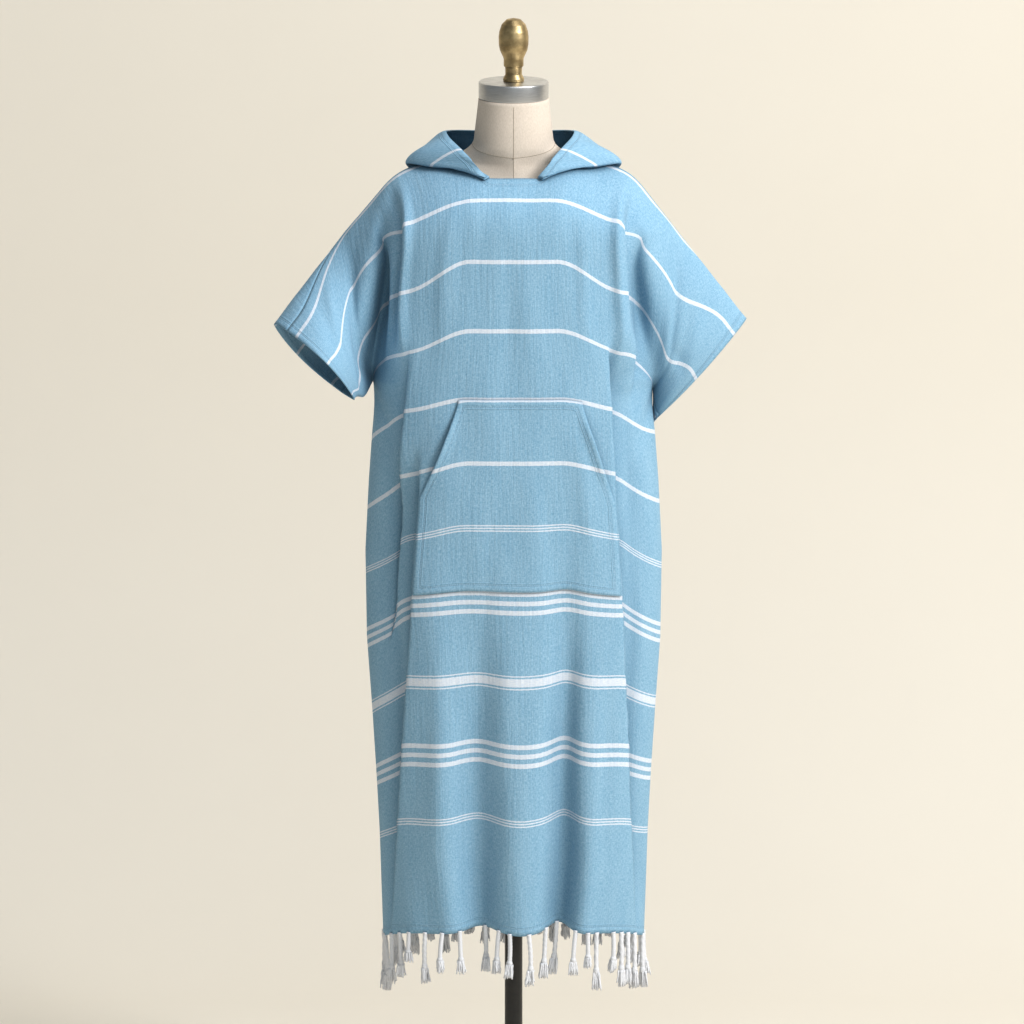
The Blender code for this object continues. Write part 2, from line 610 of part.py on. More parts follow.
def add_strand(points, faces, root, tassel, flip):
    """One tassel: a four-sided cord from the strip, widening at its knot into a tuft."""
    corners = np.array([points[i] for i in root])
    centre = corners.mean(axis=0)
    across = corners[1] - corners[0]
    across = across / np.linalg.norm(across)
    out = corners[0] - corners[3]
    out = out / np.linalg.norm(out)
    last = root
    for part, half in ((0.62, CORD_HALF), (0.70, TUFT_HALF * 0.8), (1.0, TUFT_HALF)):
        middle = centre + np.array([tassel.lean * part, 0.0, -tassel.length * part])
        signs = ((-1, 1), (1, 1), (1, -1), (-1, -1))
        ring = [len(points) + k for k in range(4)]
        points.extend(middle + across * (a * half) + out * (b * half) for a, b in signs)
        for k in range(4):
            face = [last[k], ring[k], ring[(k + 1) % 4], last[(k + 1) % 4]]
            faces.append(face[::-1] if flip else face)
        last = ring
    faces.append(last if flip else last[::-1])


def hood_value(t, column):
    """One column of HOOD at t, 0 at the front corner and 1 at the centre back."""
    places = np.linspace(0.0, 1.0, len(HOOD))
    return np.interp(t, places, [getattr(row, column) for row in HOOD])


def hood_points(side, t, r):
    """Middle of the hood's wall: out over the garment from the neck seam, round, and back up."""
    over = np.clip(r / 0.46, 0.0, 1.0)
    u = side * (hood_value(t, "neck_u") + (hood_value(t, "fold_u") - hood_value(t, "neck_u")) * over)
    s = hood_value(t, "neck_s") + (hood_value(t, "fold_s") - hood_value(t, "neck_s")) * over
    reach = np.hypot(hood_value(t, "fold_u") - hood_value(t, "neck_u"),
                     hood_value(t, "fold_s") - hood_value(t, "neck_s"))
    clear = HOOD_SEATED + (HOOD_CLEAR - HOOD_SEATED) * smooth(over * reach / 0.030)
    normal = garment_normals(u, s)
    lower = garment(u, s) + normal * clear[..., None]
    fold = garment(side * hood_value(t, "fold_u"), hood_value(t, "fold_s"))
    fold_normal = garment_normals(side * hood_value(t, "fold_u"), hood_value(t, "fold_s"))
    fold = fold + fold_normal * HOOD_CLEAR
    rim = np.stack([side * RIM_SPREAD[side] * hood_value(t, "rim_x"), hood_value(t, "rim_y"),
                    hood_value(t, "rim_z")], axis=-1)
    seam = garment(side * hood_value(t, "neck_u"), hood_value(t, "neck_s"))
    outward = fold - seam
    outward = outward / np.linalg.norm(outward, axis=-1, keepdims=True)
    puff = hood_value(t, "puff")[..., None]
    first = fold + outward * puff * 0.45 + fold_normal * puff
    second = rim + (outward * 0.5 + fold_normal * 0.6) * puff
    k = np.clip((r - 0.46) / 0.54, 0.0, 1.0)[..., None]
    upper = fold * (1 - k) ** 3 + first * 3 * k * (1 - k) ** 2 + second * 3 * k * k * (1 - k) + rim * k ** 3
    return np.where((r < 0.46)[..., None], lower, upper)


def build_hood(name, side):
    """One half of the hood, from the front corner of the neck to the centre seam behind."""
    t = np.linspace(0.0, 1.0, 13)
    r = np.concatenate([np.linspace(0.0, 0.46, 6), np.linspace(0.46, 1.0, 9)[1:]])
    t, r = np.meshgrid(t, r)
    middle = hood_points(side, t, r)
    step = 0.004
    along = hood_points(side, t, np.clip(r + step, 0, 1)) - hood_points(side, t, np.clip(r - step, 0, 1))
    back = hood_points(side, np.clip(t + step, 0, 1), r) - hood_points(side, np.clip(t - step, 0, 1), r)
    normal = np.cross(along, back) * side
    seam = t > 0.999
    normal[..., 0] = np.where(seam, 0.0, normal[..., 0])
    normal = normal / np.linalg.norm(normal, axis=-1, keepdims=True)
    middle[..., 0] = np.where(seam, side * SEAM / 2.0, middle[..., 0])
    obj = add_wall(name, middle + normal * (WALL / 2), middle - normal * (WALL / 2), flip=side < 0)
    add_material(obj, "towel_blue", TOWEL_BLUE, 0.85, 0.0)


def build_form():
    """Linen-covered torso and neck, as rings of superellipses, open to the pole below."""
    Ring = namedtuple("Ring", "z half_width half_depth y power")
    rings = (
        Ring(FORM_BOTTOM, 0.020, 0.020, 0.000, 2.0),
        Ring(FORM_BOTTOM, 0.128, 0.086, 0.004, 2.2),
        Ring(FORM_BOTTOM + 0.012, 0.140, 0.096, 0.004, 2.2),
        Ring(0.900, 0.145, 0.098, 0.004, 2.2),
        Ring(0.980, 0.130, 0.088, 0.002, 2.2),
        Ring(1.060, 0.118, 0.080, 0.000, 2.2),
        Ring(1.150, 0.128, 0.086, 0.000, 2.2),
        Ring(1.250, 0.140, 0.090, 0.000, 2.3),
        Ring(1.330, 0.152, 0.084, 0.004, 2.3),
        Ring(1.375, 0.164, 0.072, 0.004, 2.0),
        Ring(1.398, 0.164, 0.058, 0.002, 1.6),
        Ring(1.414, 0.142, 0.050, 0.000, 1.25),
        Ring(1.4285, 0.0990, 0.049, 0.000, 1.15),
        Ring(1.4405, 0.0742, 0.0508, 0.000, 1.5),
        Ring(1.452, 0.0575, 0.0530, 0.000, 2.0),
        Ring(1.480, 0.0555, 0.0530, 0.000, 2.0),
        Ring(CAP_TOP - 0.0293, 0.0530, 0.0520, 0.000, 2.0),
    )
    sides = 28
    turn = np.linspace(0.0, 2.0 * pi, sides, endpoint=False)
    points = []
    for ring in rings:
        c, s = np.cos(turn), np.sin(turn)
        x = ring.half_width * np.sign(c) * np.abs(c) ** (2 / ring.power)
        y = ring.y + ring.half_depth * np.sign(s) * np.abs(s) ** (2 / ring.power)
        points.extend(np.stack([x, y, np.full(sides, ring.z)], axis=-1))
    faces = [list(range(sides))[::-1]]
    for i in range(len(rings) - 1):
        for j in range(sides):
            k = (j + 1) % sides
            faces.append([i * sides + j, i * sides + k, (i + 1) * sides + k, (i + 1) * sides + j])
    faces.append([(len(rings) - 1) * sides + j for j in range(sides)])
    obj = add_object("form_body", points, faces)
    add_material(obj, "linen", FORM_CLOTH, 0.8, 0.0)


def turned(name, profile, sides, finish):
    """A solid of revolution about Z, from (radius, z) pairs that run up from the axis."""
    mesh = bmesh.new()
    loops = []
    for radius, z in profile:
        if radius == 0.0:
            loops.append([mesh.verts.new((0.0, 0.0, z))])
            continue
        loops.append([mesh.verts.new((radius * cos(2 * pi * k / sides), radius * sin(2 * pi * k / sides), z))
                      for k in range(sides)])
    for low, high in zip(loops, loops[1:]):
        for k in range(sides):
            n = (k + 1) % sides
            quad = [low[k % len(low)], low[n % len(low)], high[n % len(high)], high[k % len(high)]]
            mesh.faces.new(list(dict.fromkeys(quad)))
    data = bpy.data.meshes.new(name)
    mesh.to_mesh(data)
    mesh.free()
    data.shade_smooth()
    obj = bpy.data.objects.new(name, data)
    bpy.context.collection.objects.link(obj)
    add_material(obj, *finish)
    return obj


def build_stand():
    """Neck cap, finial, pole and base."""
    low = CAP_TOP - 0.029
    turned("neck_cap", ((0.0, low), (0.0490, low), (0.0505, low + 0.002), (0.0505, CAP_TOP - 0.0015),
                        (0.0490, CAP_TOP), (0.0, CAP_TOP)), 28, ("brushed_steel", STEEL, 0.3, 1.0))
    z = CAP_TOP + SEAM
    turned("finial", ((0.0, z), (0.0150, z), (0.0150, z + 0.004), (0.0118, z + 0.010), (0.0122, z + 0.020),
                      (0.0142, z + 0.022), (0.0142, z + 0.032), (0.0148, z + 0.034), (0.0198, z + 0.045),
                      (0.0212, z + 0.053), (0.0214, z + 0.064), (0.0205, z + 0.072), (0.0170, z + 0.082),
                      (0.0100, z + 0.089), (0.0, z + 0.091)), 20, ("brass", BRASS, 0.35, 1.0))
    top = FORM_BOTTOM - SEAM
    turned("pole", ((0.0, BASE_THICKNESS + SEAM), (POLE_RADIUS, BASE_THICKNESS + SEAM),
                    (POLE_RADIUS, top), (0.0, top)), 20, ("black_steel", BLACK, 0.4, 0.6))
    turned("stand_base", ((0.0, 0.0), (BASE_RADIUS - 0.003, 0.0), (BASE_RADIUS, 0.003),
                          (BASE_RADIUS, BASE_THICKNESS - 0.003), (BASE_RADIUS - 0.003, BASE_THICKNESS),
                          (0.0, BASE_THICKNESS)), 40, ("black_steel", BLACK, 0.4, 0.6))


def main():
    for old in list(bpy.data.objects):
        bpy.data.objects.remove(old, do_unlink=True)
    build_panel("front_panel", 1)
    build_panel("back_panel", -1)
    build_hood("hood_left", -1)
    build_hood("hood_right", 1)
    build_pocket()
    build_fringe("fringe_front", 1)
    build_fringe("fringe_back", -1)
    build_form()
    build_stand()


main()
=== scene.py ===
"""Looks of a hooded bath poncho that hangs on a limbless dress form.

Every point of the cloth is a function of two cloth measures in metres: u, across from the centre
line, and s, along the length from the shoulder, positive down the front and negative down the back.
They are also the cloth's texture coordinates, so that woven stripes follow the cloth through folds.
"""

from __future__ import annotations

import logging
import math
from dataclasses import dataclass, field
from enum import Enum
from typing import Callable, Sequence

import bpy
import numpy as np
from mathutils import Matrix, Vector

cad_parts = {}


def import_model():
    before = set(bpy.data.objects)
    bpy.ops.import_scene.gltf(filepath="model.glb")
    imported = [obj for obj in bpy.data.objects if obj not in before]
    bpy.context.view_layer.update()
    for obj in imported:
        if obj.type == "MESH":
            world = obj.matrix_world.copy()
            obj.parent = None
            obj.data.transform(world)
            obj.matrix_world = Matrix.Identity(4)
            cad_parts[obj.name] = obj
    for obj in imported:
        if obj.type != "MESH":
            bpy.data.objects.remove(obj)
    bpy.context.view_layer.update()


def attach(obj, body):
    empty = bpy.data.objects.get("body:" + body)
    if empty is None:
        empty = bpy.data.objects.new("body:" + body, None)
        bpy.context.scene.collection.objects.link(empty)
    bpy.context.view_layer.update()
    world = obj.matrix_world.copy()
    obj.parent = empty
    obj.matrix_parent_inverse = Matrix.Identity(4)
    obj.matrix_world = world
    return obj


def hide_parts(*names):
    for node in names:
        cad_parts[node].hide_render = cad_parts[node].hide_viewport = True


LOG = logging.getLogger("poncho")
Array = np.ndarray
Colour = tuple[float, float, float, float]
Point = tuple[float, float, float]
Run = tuple[float, float]  # where a smooth step starts, and how long it is
Mesh = tuple[Array, Array]  # points, and the corners of each face
Obj = bpy.types.Object
Socket = bpy.types.NodeSocket
FAR = 0.05  # distances from a cloth's edge are told up to this


class Panel(Enum):
    """The two main pieces of cloth."""

    FRONT = 1
    BACK = -1


class Side(Enum):
    """Left and right as seen from the front."""

    LEFT = -1
    RIGHT = 1


class Hold(Enum):
    """How a sheet of cloth is held."""

    HUNG = "hung"
    DRAPED = "draped"
    LAID = "laid"


# ---------------------------------------------------------------------------------------- numbers


def smooth(value: Array) -> Array:
    """A smooth step: 0 below 0, 1 above 1, and 3t^2 - 2t^3 between."""
    t = np.clip(value, 0.0, 1.0)
    return t * t * (3.0 - 2.0 * t)


def rise(value: Array, start: float, run: float) -> Array:
    """A smooth step of value, from 0 at start to 1 at a run beyond it."""
    return smooth((value - start) / run)


def unit(vectors: Array) -> Array:
    """Vectors, by their last axis, at length one."""
    return vectors / np.maximum(np.linalg.norm(vectors, axis=-1, keepdims=True), 1e-12)


def paired(*arrays: Array) -> list[Array]:
    """The arrays, all broadcast to one shape."""
    return [np.array(a) for a in np.broadcast_arrays(*(np.asarray(a, float) for a in arrays))]


def running_sum(values: Array, step: float) -> Array:
    """Trapezoid integral up to each of some evenly spaced values."""
    return np.concatenate([[0.0], np.cumsum((values[1:] + values[:-1]) / 2.0) * step])


def rings(count: int, sides: int) -> tuple[Array, Array]:
    """Closed rings of corners, each joined to the next.

    Args:
        count: how many rings.
        sides: corners of each.

    Returns:
        The corners' numbers, ring by ring, and the quads between the rings.
    """
    index = np.arange(count * sides).reshape(count, sides)
    after = np.roll(index, -1, axis=1)
    return index, np.stack([index[:-1], after[:-1], after[1:], index[1:]], axis=-1).reshape(-1, 4)


# ------------------------------------------------------------------------------------- the garment


@dataclass(frozen=True)
class Drape:
    """How a panel leaves the shoulder."""

    tilt: float  # slope of the cloth at the shoulder line, radians
    hang_from: float  # cloth length to where it hangs plumb
    belly: float  # how far its centre stands out beyond that
    neck_depth: float  # depth of the neckline along the cloth


@dataclass(frozen=True)
class Level:
    """The body's level section at cloth length s."""

    s: float  # cloth length from the shoulder
    half_width: float  # half width of the section
    tuck: float  # how far the side is drawn in under the arm
    edge_drop: float  # how far a level thread sinks at the shoulder's edge
    side_drop: float  # how far it sinks again at the side seam


@dataclass(frozen=True)
class Fold:
    """A long fold: cloth outboard of its edge is drawn in by take and set back by step."""

    panel: Panel
    side: Side
    start: float  # cloth length where it begins
    end: float  # cloth length where it has gone
    x_top: float  # x of the edge at the start
    x_end: float  # x of the edge at the end
    bend: float  # power of the way from one to the other
    take: float  # cloth that goes under
    step: float  # how far the cloth beyond stands back
    width: float  # cloth over which the fold turns


@dataclass(frozen=True)
class Flute:
    """A soft flute that grows towards the hem."""

    panel: Panel
    u: float  # place across
    start: float  # cloth length where it begins
    depth: float  # set-back at the hem
    lift: float  # lift of the hem
    width: float  # half width across


@dataclass(frozen=True)
class SleeveHang:
    """How a sleeve hangs, as a flattened tube under its top line."""

    side: Side
    slope: float  # slope of the top line, radians
    swing: float  # swing of the hanging side towards the body, radians
    lead: float  # lead of the cuff towards the front, radians
    roll: float  # how far the shoulder line has rolled over the top
    height: float  # height of the flattened tube at the cuff
    root_height: float  # its height at the root
    depth: float  # half depth of the tube


@dataclass(frozen=True)
class Valley:
    """A valley in the front or back between body and sleeve."""

    panel: Panel
    side: Side
    u_top: float  # place across of its middle at the start
    u_low: float  # place across of its middle at the end
    start: float  # cloth length where it begins
    end: float  # cloth length where it has gone
    depth: float  # how far it is set in
    width: float  # half width


@dataclass(frozen=True)
class Crease:
    """A soft crease between two places on a panel."""

    panel: Panel
    u0: float  # place across of one end
    s0: float  # cloth length of that end
    u1: float  # place across of the other end
    s1: float  # cloth length of that end
    height: float  # height of the ridge, or below 0 the depth of the trough
    width: float  # half width


@dataclass(frozen=True)
class Cut:
    """Sizes of the garment as it is cut."""

    length: float = 1.163  # shoulder to hem
    body_half: float = 0.320  # centre line to side seam
    sleeve_half: float = 0.443  # centre line to cuff
    armhole: float = 0.285  # shoulder to underarm
    neck_flat: float = 0.036  # half of the neckline's straight front
    neck_half: float = 0.095  # half of the neck opening
    wall: float = 0.0014  # thickness of the cloth


DRAPES = {
    Panel.FRONT: Drape(math.radians(22), 0.160, 0.035, 0.0595),
    Panel.BACK: Drape(math.radians(10), 0.170, 0.022, 0.055),
}

LEVELS = tuple(Level(*row) for row in (
    (0.000, 0.200, 0.000, 0.042, 0.050),
    (0.095, 0.202, 0.000, 0.038, 0.050),
    (0.190, 0.204, 0.011, 0.046, 0.050),
    (0.285, 0.206, 0.012, 0.034, 0.047),
    (0.350, 0.207, 0.009, 0.024, 0.046),
    (0.390, 0.208, 0.006, 0.020, 0.046),
    (0.450, 0.210, 0.003, 0.022, 0.052),
    (0.550, 0.212, 0.000, 0.020, 0.056),
    (0.690, 0.210, 0.000, 0.008, 0.054),
    (0.800, 0.203, 0.000, 0.004, 0.044),
    (0.900, 0.197, 0.000, 0.004, 0.038),
    (1.000, 0.192, 0.000, 0.004, 0.028),
    (1.163, 0.187, 0.000, 0.004, 0.018),
))

FOLDS = (
    Fold(Panel.FRONT, Side.LEFT, -0.04, 0.34, 0.172, 0.184, 2.0, 0.012, 0.018, 0.020),
    Fold(Panel.FRONT, Side.LEFT, 0.26, 0.78, 0.141, 0.202, 1.0, 0.022, 0.018, 0.019),
    Fold(Panel.FRONT, Side.LEFT, 0.43, 1.20, 0.129, 0.176, 0.9, 0.028, 0.026, 0.018),
    Fold(Panel.FRONT, Side.RIGHT, -0.04, 0.40, 0.170, 0.184, 2.0, 0.012, 0.018, 0.020),
    Fold(Panel.FRONT, Side.RIGHT, 0.25, 1.20, 0.130, 0.176, 0.8, 0.030, 0.028, 0.018),
    Fold(Panel.BACK, Side.LEFT, 0.26, 1.22, 0.128, 0.150, 1.0, 0.030, 0.026, 0.019),
    Fold(Panel.BACK, Side.RIGHT, 0.30, 1.22, 0.142, 0.168, 1.0, 0.032, 0.028, 0.019),
)

FLUTES = tuple(Flute(panel, *row) for panel, rows in {
    Panel.FRONT: (
        (-0.057, 0.50, 0.026, 0.006, 0.030),
        (0.012, 0.55, -0.009, -0.003, 0.030),
        (0.080, 0.42, 0.034, 0.010, 0.024),
        (0.128, 0.60, -0.006, 0.000, 0.022),
        (-0.120, 0.60, -0.006, 0.000, 0.026),
    ),
    Panel.BACK: (
        (-0.072, 0.34, 0.030, 0.006, 0.032),
        (0.010, 0.44, -0.010, 0.000, 0.034),
        (0.086, 0.38, 0.026, 0.006, 0.028),
    ),
}.items() for row in rows)

SLEEVES = {
    Side.LEFT: SleeveHang(Side.LEFT, math.radians(50.0), math.radians(46), math.radians(16),
                          -0.045, 0.160, 0.216, 0.072),
    Side.RIGHT: SleeveHang(Side.RIGHT, math.radians(52.5), math.radians(42.3), math.radians(-3),
                           0.045, 0.212, 0.232, 0.042),
}

VALLEYS = (
    Valley(Panel.FRONT, Side.LEFT, 0.206, 0.262, 0.015, 0.285, 0.030, 0.019),
    Valley(Panel.FRONT, Side.RIGHT, 0.206, 0.240, 0.025, 0.285, 0.020, 0.016),
)

CREASES = tuple(Crease(panel, *row) for panel, rows in {
    Panel.FRONT: (
        # Faint vertical hang below the neck and over the chest
        (-0.105, 0.100, -0.118, 0.330, 0.0016, 0.010),
        (-0.085, 0.060, -0.096, 0.300, -0.0014, 0.011),
        (-0.018, 0.120, -0.010, 0.380, -0.0010, 0.012),
        (0.020, 0.110, 0.030, 0.340, 0.0010, 0.014),
        (0.088, 0.080, 0.100, 0.300, -0.0014, 0.012),
        (0.118, 0.120, 0.122, 0.330, 0.0014, 0.010),
        # The long fold that stands over each armhole, and the valley beside it
        (-0.172, 0.010, -0.190, 0.330, 0.0085, 0.009),
        (-0.192, 0.015, -0.216, 0.300, -0.0125, 0.010),
        (-0.232, 0.060, -0.262, 0.250, 0.0060, 0.014),
        (0.172, 0.010, 0.188, 0.340, 0.0085, 0.009),
        (0.191, 0.015, 0.210, 0.300, -0.0135, 0.010),
        # Sleeves
        (-0.270, 0.030, -0.330, 0.240, -0.0034, 0.013),
        (-0.330, 0.020, -0.405, 0.200, 0.0026, 0.015),
        (-0.300, 0.150, -0.420, 0.240, -0.0024, 0.012),
        (0.275, 0.020, 0.330, 0.230, -0.0032, 0.013),
        (0.330, 0.030, 0.400, 0.190, 0.0026, 0.015),
        (0.310, 0.170, 0.420, 0.215, -0.0022, 0.012),
        # Drawn lines under the arms
        (-0.318, 0.300, -0.230, 0.430, -0.0030, 0.011),
        (-0.300, 0.290, -0.190, 0.350, 0.0022, 0.010),
        (0.318, 0.300, 0.235, 0.440, -0.0030, 0.011),
        (0.300, 0.290, 0.200, 0.360, 0.0022, 0.010),
        # Slack over and beside the pocket
        (-0.090, 0.400, -0.150, 0.500, 0.0016, 0.010),
        (-0.030, 0.520, -0.055, 0.800, -0.0018, 0.013),
        (0.040, 0.480, 0.060, 0.760, -0.0018, 0.013),
        (0.100, 0.430, 0.128, 0.640, 0.0014, 0.010),
        (-0.110, 0.690, -0.118, 1.100, 0.0018, 0.013),
        (-0.010, 0.700, -0.004, 1.120, 0.0016, 0.015),
        (-0.090, 0.760, -0.086, 1.150, -0.0018, 0.012),
        (0.110, 0.700, 0.112, 1.140, 0.0018, 0.011),
        (0.145, 0.760, 0.140, 1.120, -0.0018, 0.012),
        (-0.235, 0.520, -0.228, 1.000, -0.0022, 0.014),
        (0.240, 0.560, 0.232, 1.080, -0.0022, 0.014),
    ),
    Panel.BACK: (
        # Back, out of sight and much alike
        (-0.120, 0.260, -0.090, 0.600, -0.0016, 0.013),
        (-0.030, 0.280, -0.040, 0.700, 0.0014, 0.014),
        (0.040, 0.300, 0.052, 0.640, -0.0014, 0.013),
        (0.125, 0.240, 0.110, 0.560, 0.0016, 0.012),
        (-0.160, 0.040, -0.200, 0.200, -0.0030, 0.012),
        (0.165, 0.040, 0.198, 0.190, -0.0030, 0.012),
        (-0.280, 0.030, -0.345, 0.230, -0.0032, 0.014),
        (-0.340, 0.050, -0.410, 0.200, 0.0026, 0.014),
        (0.285, 0.040, 0.340, 0.220, -0.0032, 0.014),
        (0.345, 0.030, 0.405, 0.190, 0.0026, 0.014),
        (-0.100, 0.720, -0.108, 1.120, 0.0018, 0.013),
        (0.005, 0.760, 0.000, 1.140, -0.0018, 0.013),
        (0.130, 0.700, 0.126, 1.100, 0.0018, 0.012),
        (0.235, 0.600, 0.230, 1.080, -0.0020, 0.014),
        (-0.240, 0.560, -0.235, 1.040, -0.0020, 0.014),
    ),
}.items() for row in rows)


@dataclass
class GarmentMap:
    """Where any place of the flat-cut garment hangs in space.

    The body is a ring of level superellipse sections; its long folds draw cloth in along the ring
    and set it back along the ring's inward normal. Each sleeve is a flattened tube that hangs from
    its top line. The two are blended across the armhole, and small creases are added along the
    normal.
    """

    cut: Cut = field(default_factory=Cut)  # the garment's sizes
    ridge_height: float = 1.4544  # height of the shoulder line's middle
    ridge_round: float = 0.008  # cloth length over which the cloth turns over the shoulder
    shoulder_angle: float = math.radians(18)  # slope of the shoulder line
    neck_sag: float = 0.010  # how far the front sags below the neck
    section_power: float = 2.6  # power of the superellipse sections
    tuck_from: float = 0.215  # place across where the tuck under the arm begins
    sleeve_root: float = 0.288  # place across where the sleeve begins to turn
    sleeve_edge: float = 0.950  # how sharp the flattened tube's edges are, 1 at most
    sleeve_turn: Run = (0.135, 0.075)  # across, where the shoulder line turns down into the sleeve
    shoulder_run: float = 0.19  # cloth length over which the shoulder's shape fades
    edge_sinks: Run = (0.07, 0.11)  # across, where threads sink at the shoulder's edge
    side_sinks: Run = (0.160, 0.165)  # across, where they sink again towards the side seam
    centre_ends: Run = (0.165, 0.12)  # across, where the back falls as the front does
    arm_starts: Run = (0.195, 0.09)  # across, where body gives way to sleeve
    arm_ends: Run = (0.18, 0.21)  # down, where sleeve gives way to body again
    root_ends: Run = (0.30, 0.14)  # across, where the sleeve's root has its full height
    swing_from: float = 0.20  # place across where the sleeve begins to swing in
    swing_power: float = 1.6  # how late it does
    lead_gain: float = 1.75  # how far the cuff comes forward for its lead
    crease_bow: float = 0.006  # how far a crease bows from its straight line
    slack: float = 0.0010  # height of the faint slack all over
    slack_across: float = 0.083  # its wave length across
    slack_along: float = 0.47  # its wave length along

    def __post_init__(self) -> None:
        """Work out the hang of each panel, the top lines and the tables of level sections."""
        self.hangs = {panel: self._hang(drape) for panel, drape in DRAPES.items()}
        self.ridges = {side: self._ridge(hang.slope) for side, hang in SLEEVES.items()}
        self.table_s = np.linspace(0.0, self.cut.length + 0.012, 420)
        self.table_u = np.linspace(0.0, self.cut.body_half, 341)
        self.tables = {
            (panel, side): np.stack([self._section(panel, side, s) for s in self.table_s])
            for panel in Panel for side in Side
        }

    def _hang(self, drape: Drape) -> tuple[Array, Array, Array]:
        """Cloth length from the shoulder, reach from the shoulder line and fall there.

        Args:
            drape: how the panel leaves the shoulder.

        Returns:
            All three, evenly spaced in cloth length.
        """
        s = np.linspace(0.0, self.cut.length + 0.02, 1200)
        full = math.radians(90) - drape.tilt
        tilt = (drape.tilt * np.tanh(s / self.ridge_round)
                + full * np.clip(s / drape.hang_from, 0, 1))
        step = s[1] - s[0]
        return s, running_sum(np.cos(tilt), step), running_sum(np.sin(tilt), step)

    def _ridge(self, slope: float) -> tuple[Array, Array, Array]:
        """Cloth measure u along the shoulder line and sleeve top, with its x and z.

        Args:
            slope: slope of the sleeve's top line, radians.

        Returns:
            All three, evenly spaced in u.
        """
        u = np.linspace(0.0, self.cut.sleeve_half + 0.01, 700)
        turn = self.shoulder_angle * smooth(u / 0.08)
        turn = turn + (slope - self.shoulder_angle) * rise(u, *self.sleeve_turn)
        step = u[1] - u[0]
        drop = running_sum(np.sin(turn), step)
        return u, running_sum(np.cos(turn), step), self.ridge_height - drop

    def _level(self, s: Array, column: str) -> Array:
        """One column of LEVELS at cloth length s."""
        return np.interp(s, [row.s for row in LEVELS], [getattr(row, column) for row in LEVELS])

    def body_depth(self, panel: Panel, s: Array) -> Array:
        """Half depth of the body's section at the centre line, at cloth length s, not signed."""
        reach = np.interp(s, self.hangs[panel][0], self.hangs[panel][1])
        return reach + DRAPES[panel].belly * smooth(s / 0.12)

    def _quarter(self, half_width: float, depth: float) -> tuple[Array, Array, Array]:
        """Arc length, x and y along a quarter of a superellipse, from the centre to the side.

        Args:
            half_width: half width of the section.
            depth: its half depth.

        Returns:
            All three, finest at the corner.
        """
        angle = math.pi / 2 * smooth(np.linspace(0.0, 1.0, 200))
        power = 2.0 / self.section_power
        x = half_width * np.sin(angle) ** power
        y = -depth * np.cos(angle) ** power
        return np.concatenate([[0.0], np.cumsum(np.hypot(np.diff(x), np.diff(y)))]), x, y

    def _section(self, panel: Panel, side: Side, s: float) -> Array:
        """x and y of the body's cloth at one level, for the table's places across.

        Args:
            panel: front or back.
            side: left or right.
            s: cloth length of the level.

        Returns:
            Places by 2, with x positive on either side.
        """
        arc, x_base, y_base = self._quarter(float(self._level(s, "half_width")),
                                            float(self.body_depth(panel, s)))
        folds = [f for f in FOLDS if f.panel is panel and f.side is side]
        strengths = [float(rise(s, f.start, 0.12) * (1.0 - smooth((s - f.end + 0.16) / 0.16)))
                     for f in folds]
        half = self.cut.body_half
        scale = arc[-1] / (half - sum(f.take * k for f, k in zip(folds, strengths)))
        edges = []
        for f in folds:
            along = min(max((s - f.start) / (min(f.end, self.cut.length) - f.start), 0.0), 1.0)
            edges.append(float(np.interp(f.x_top + (f.x_end - f.x_top) * along ** f.bend,
                                         x_base, arc)) / scale)
        u = self.table_u
        drawn, back = np.zeros_like(u), np.zeros_like(u)
        for f, strength, edge in zip(folds, strengths, edges):
            start = edge + sum(g.take * k for g, k, e in zip(folds, strengths, edges) if e < edge)
            passed = rise(u, start, f.width)
            drawn += f.take * strength * passed
            back += f.step * strength * passed * (1.0 - smooth((u - half + 0.095) / 0.090))
        run = np.clip(scale * (u - drawn), 0.0, arc[-1])
        tuck = (float(self._level(s, "tuck"))
                * smooth((u - self.tuck_from) / (half - self.tuck_from)))
        slope_x, slope_y = np.gradient(x_base, arc + 1e-9), np.gradient(y_base, arc + 1e-9)
        x = np.interp(run, arc, x_base) - back * np.interp(run, arc, slope_y) - tuck
        y = np.interp(run, arc, y_base) + back * np.interp(run, arc, slope_x)
        return np.stack([x, y], axis=-1)

    def fold_start(self, panel: Panel, side: Side, s: Array, rest: float) -> Array:
        """Place across where the innermost long fold begins.

        Args:
            panel: front or back.
            side: left or right.
            s: cloth lengths, not signed.
            rest: the answer where there is no fold.

        Returns:
            The cloth measure u of the first fold's start.
        """
        table = self.tables[(panel, side)]
        turned = np.diff(table[..., 0], axis=1) < 0.0
        first = np.where(turned.any(axis=1), self.table_u[turned.argmax(axis=1)], rest)
        return np.minimum(np.interp(s, self.table_s, first), rest)

    def _look_up(self, panel: Panel, side: Side, u: Array, s: Array) -> Array:
        """x and y from the tables, between their rows and columns in proportion.

        Args:
            panel: front or back.
            side: left or right.
            u: places across, not signed.
            s: cloth lengths, not signed.

        Returns:
            Places by 2.
        """
        table = self.tables[(panel, side)]
        i = np.clip(s / (self.table_s[1] - self.table_s[0]), 0, len(self.table_s) - 1.001)
        j = np.clip(u / (self.table_u[1] - self.table_u[0]), 0, len(self.table_u) - 1.001)
        i0, j0 = i.astype(int), j.astype(int)
        a, b = (i - i0)[..., None], (j - j0)[..., None]
        top = table[i0, j0] * (1 - b) + table[i0, j0 + 1] * b
        low = table[i0 + 1, j0] * (1 - b) + table[i0 + 1, j0 + 1] * b
        return top * (1 - a) + low * a

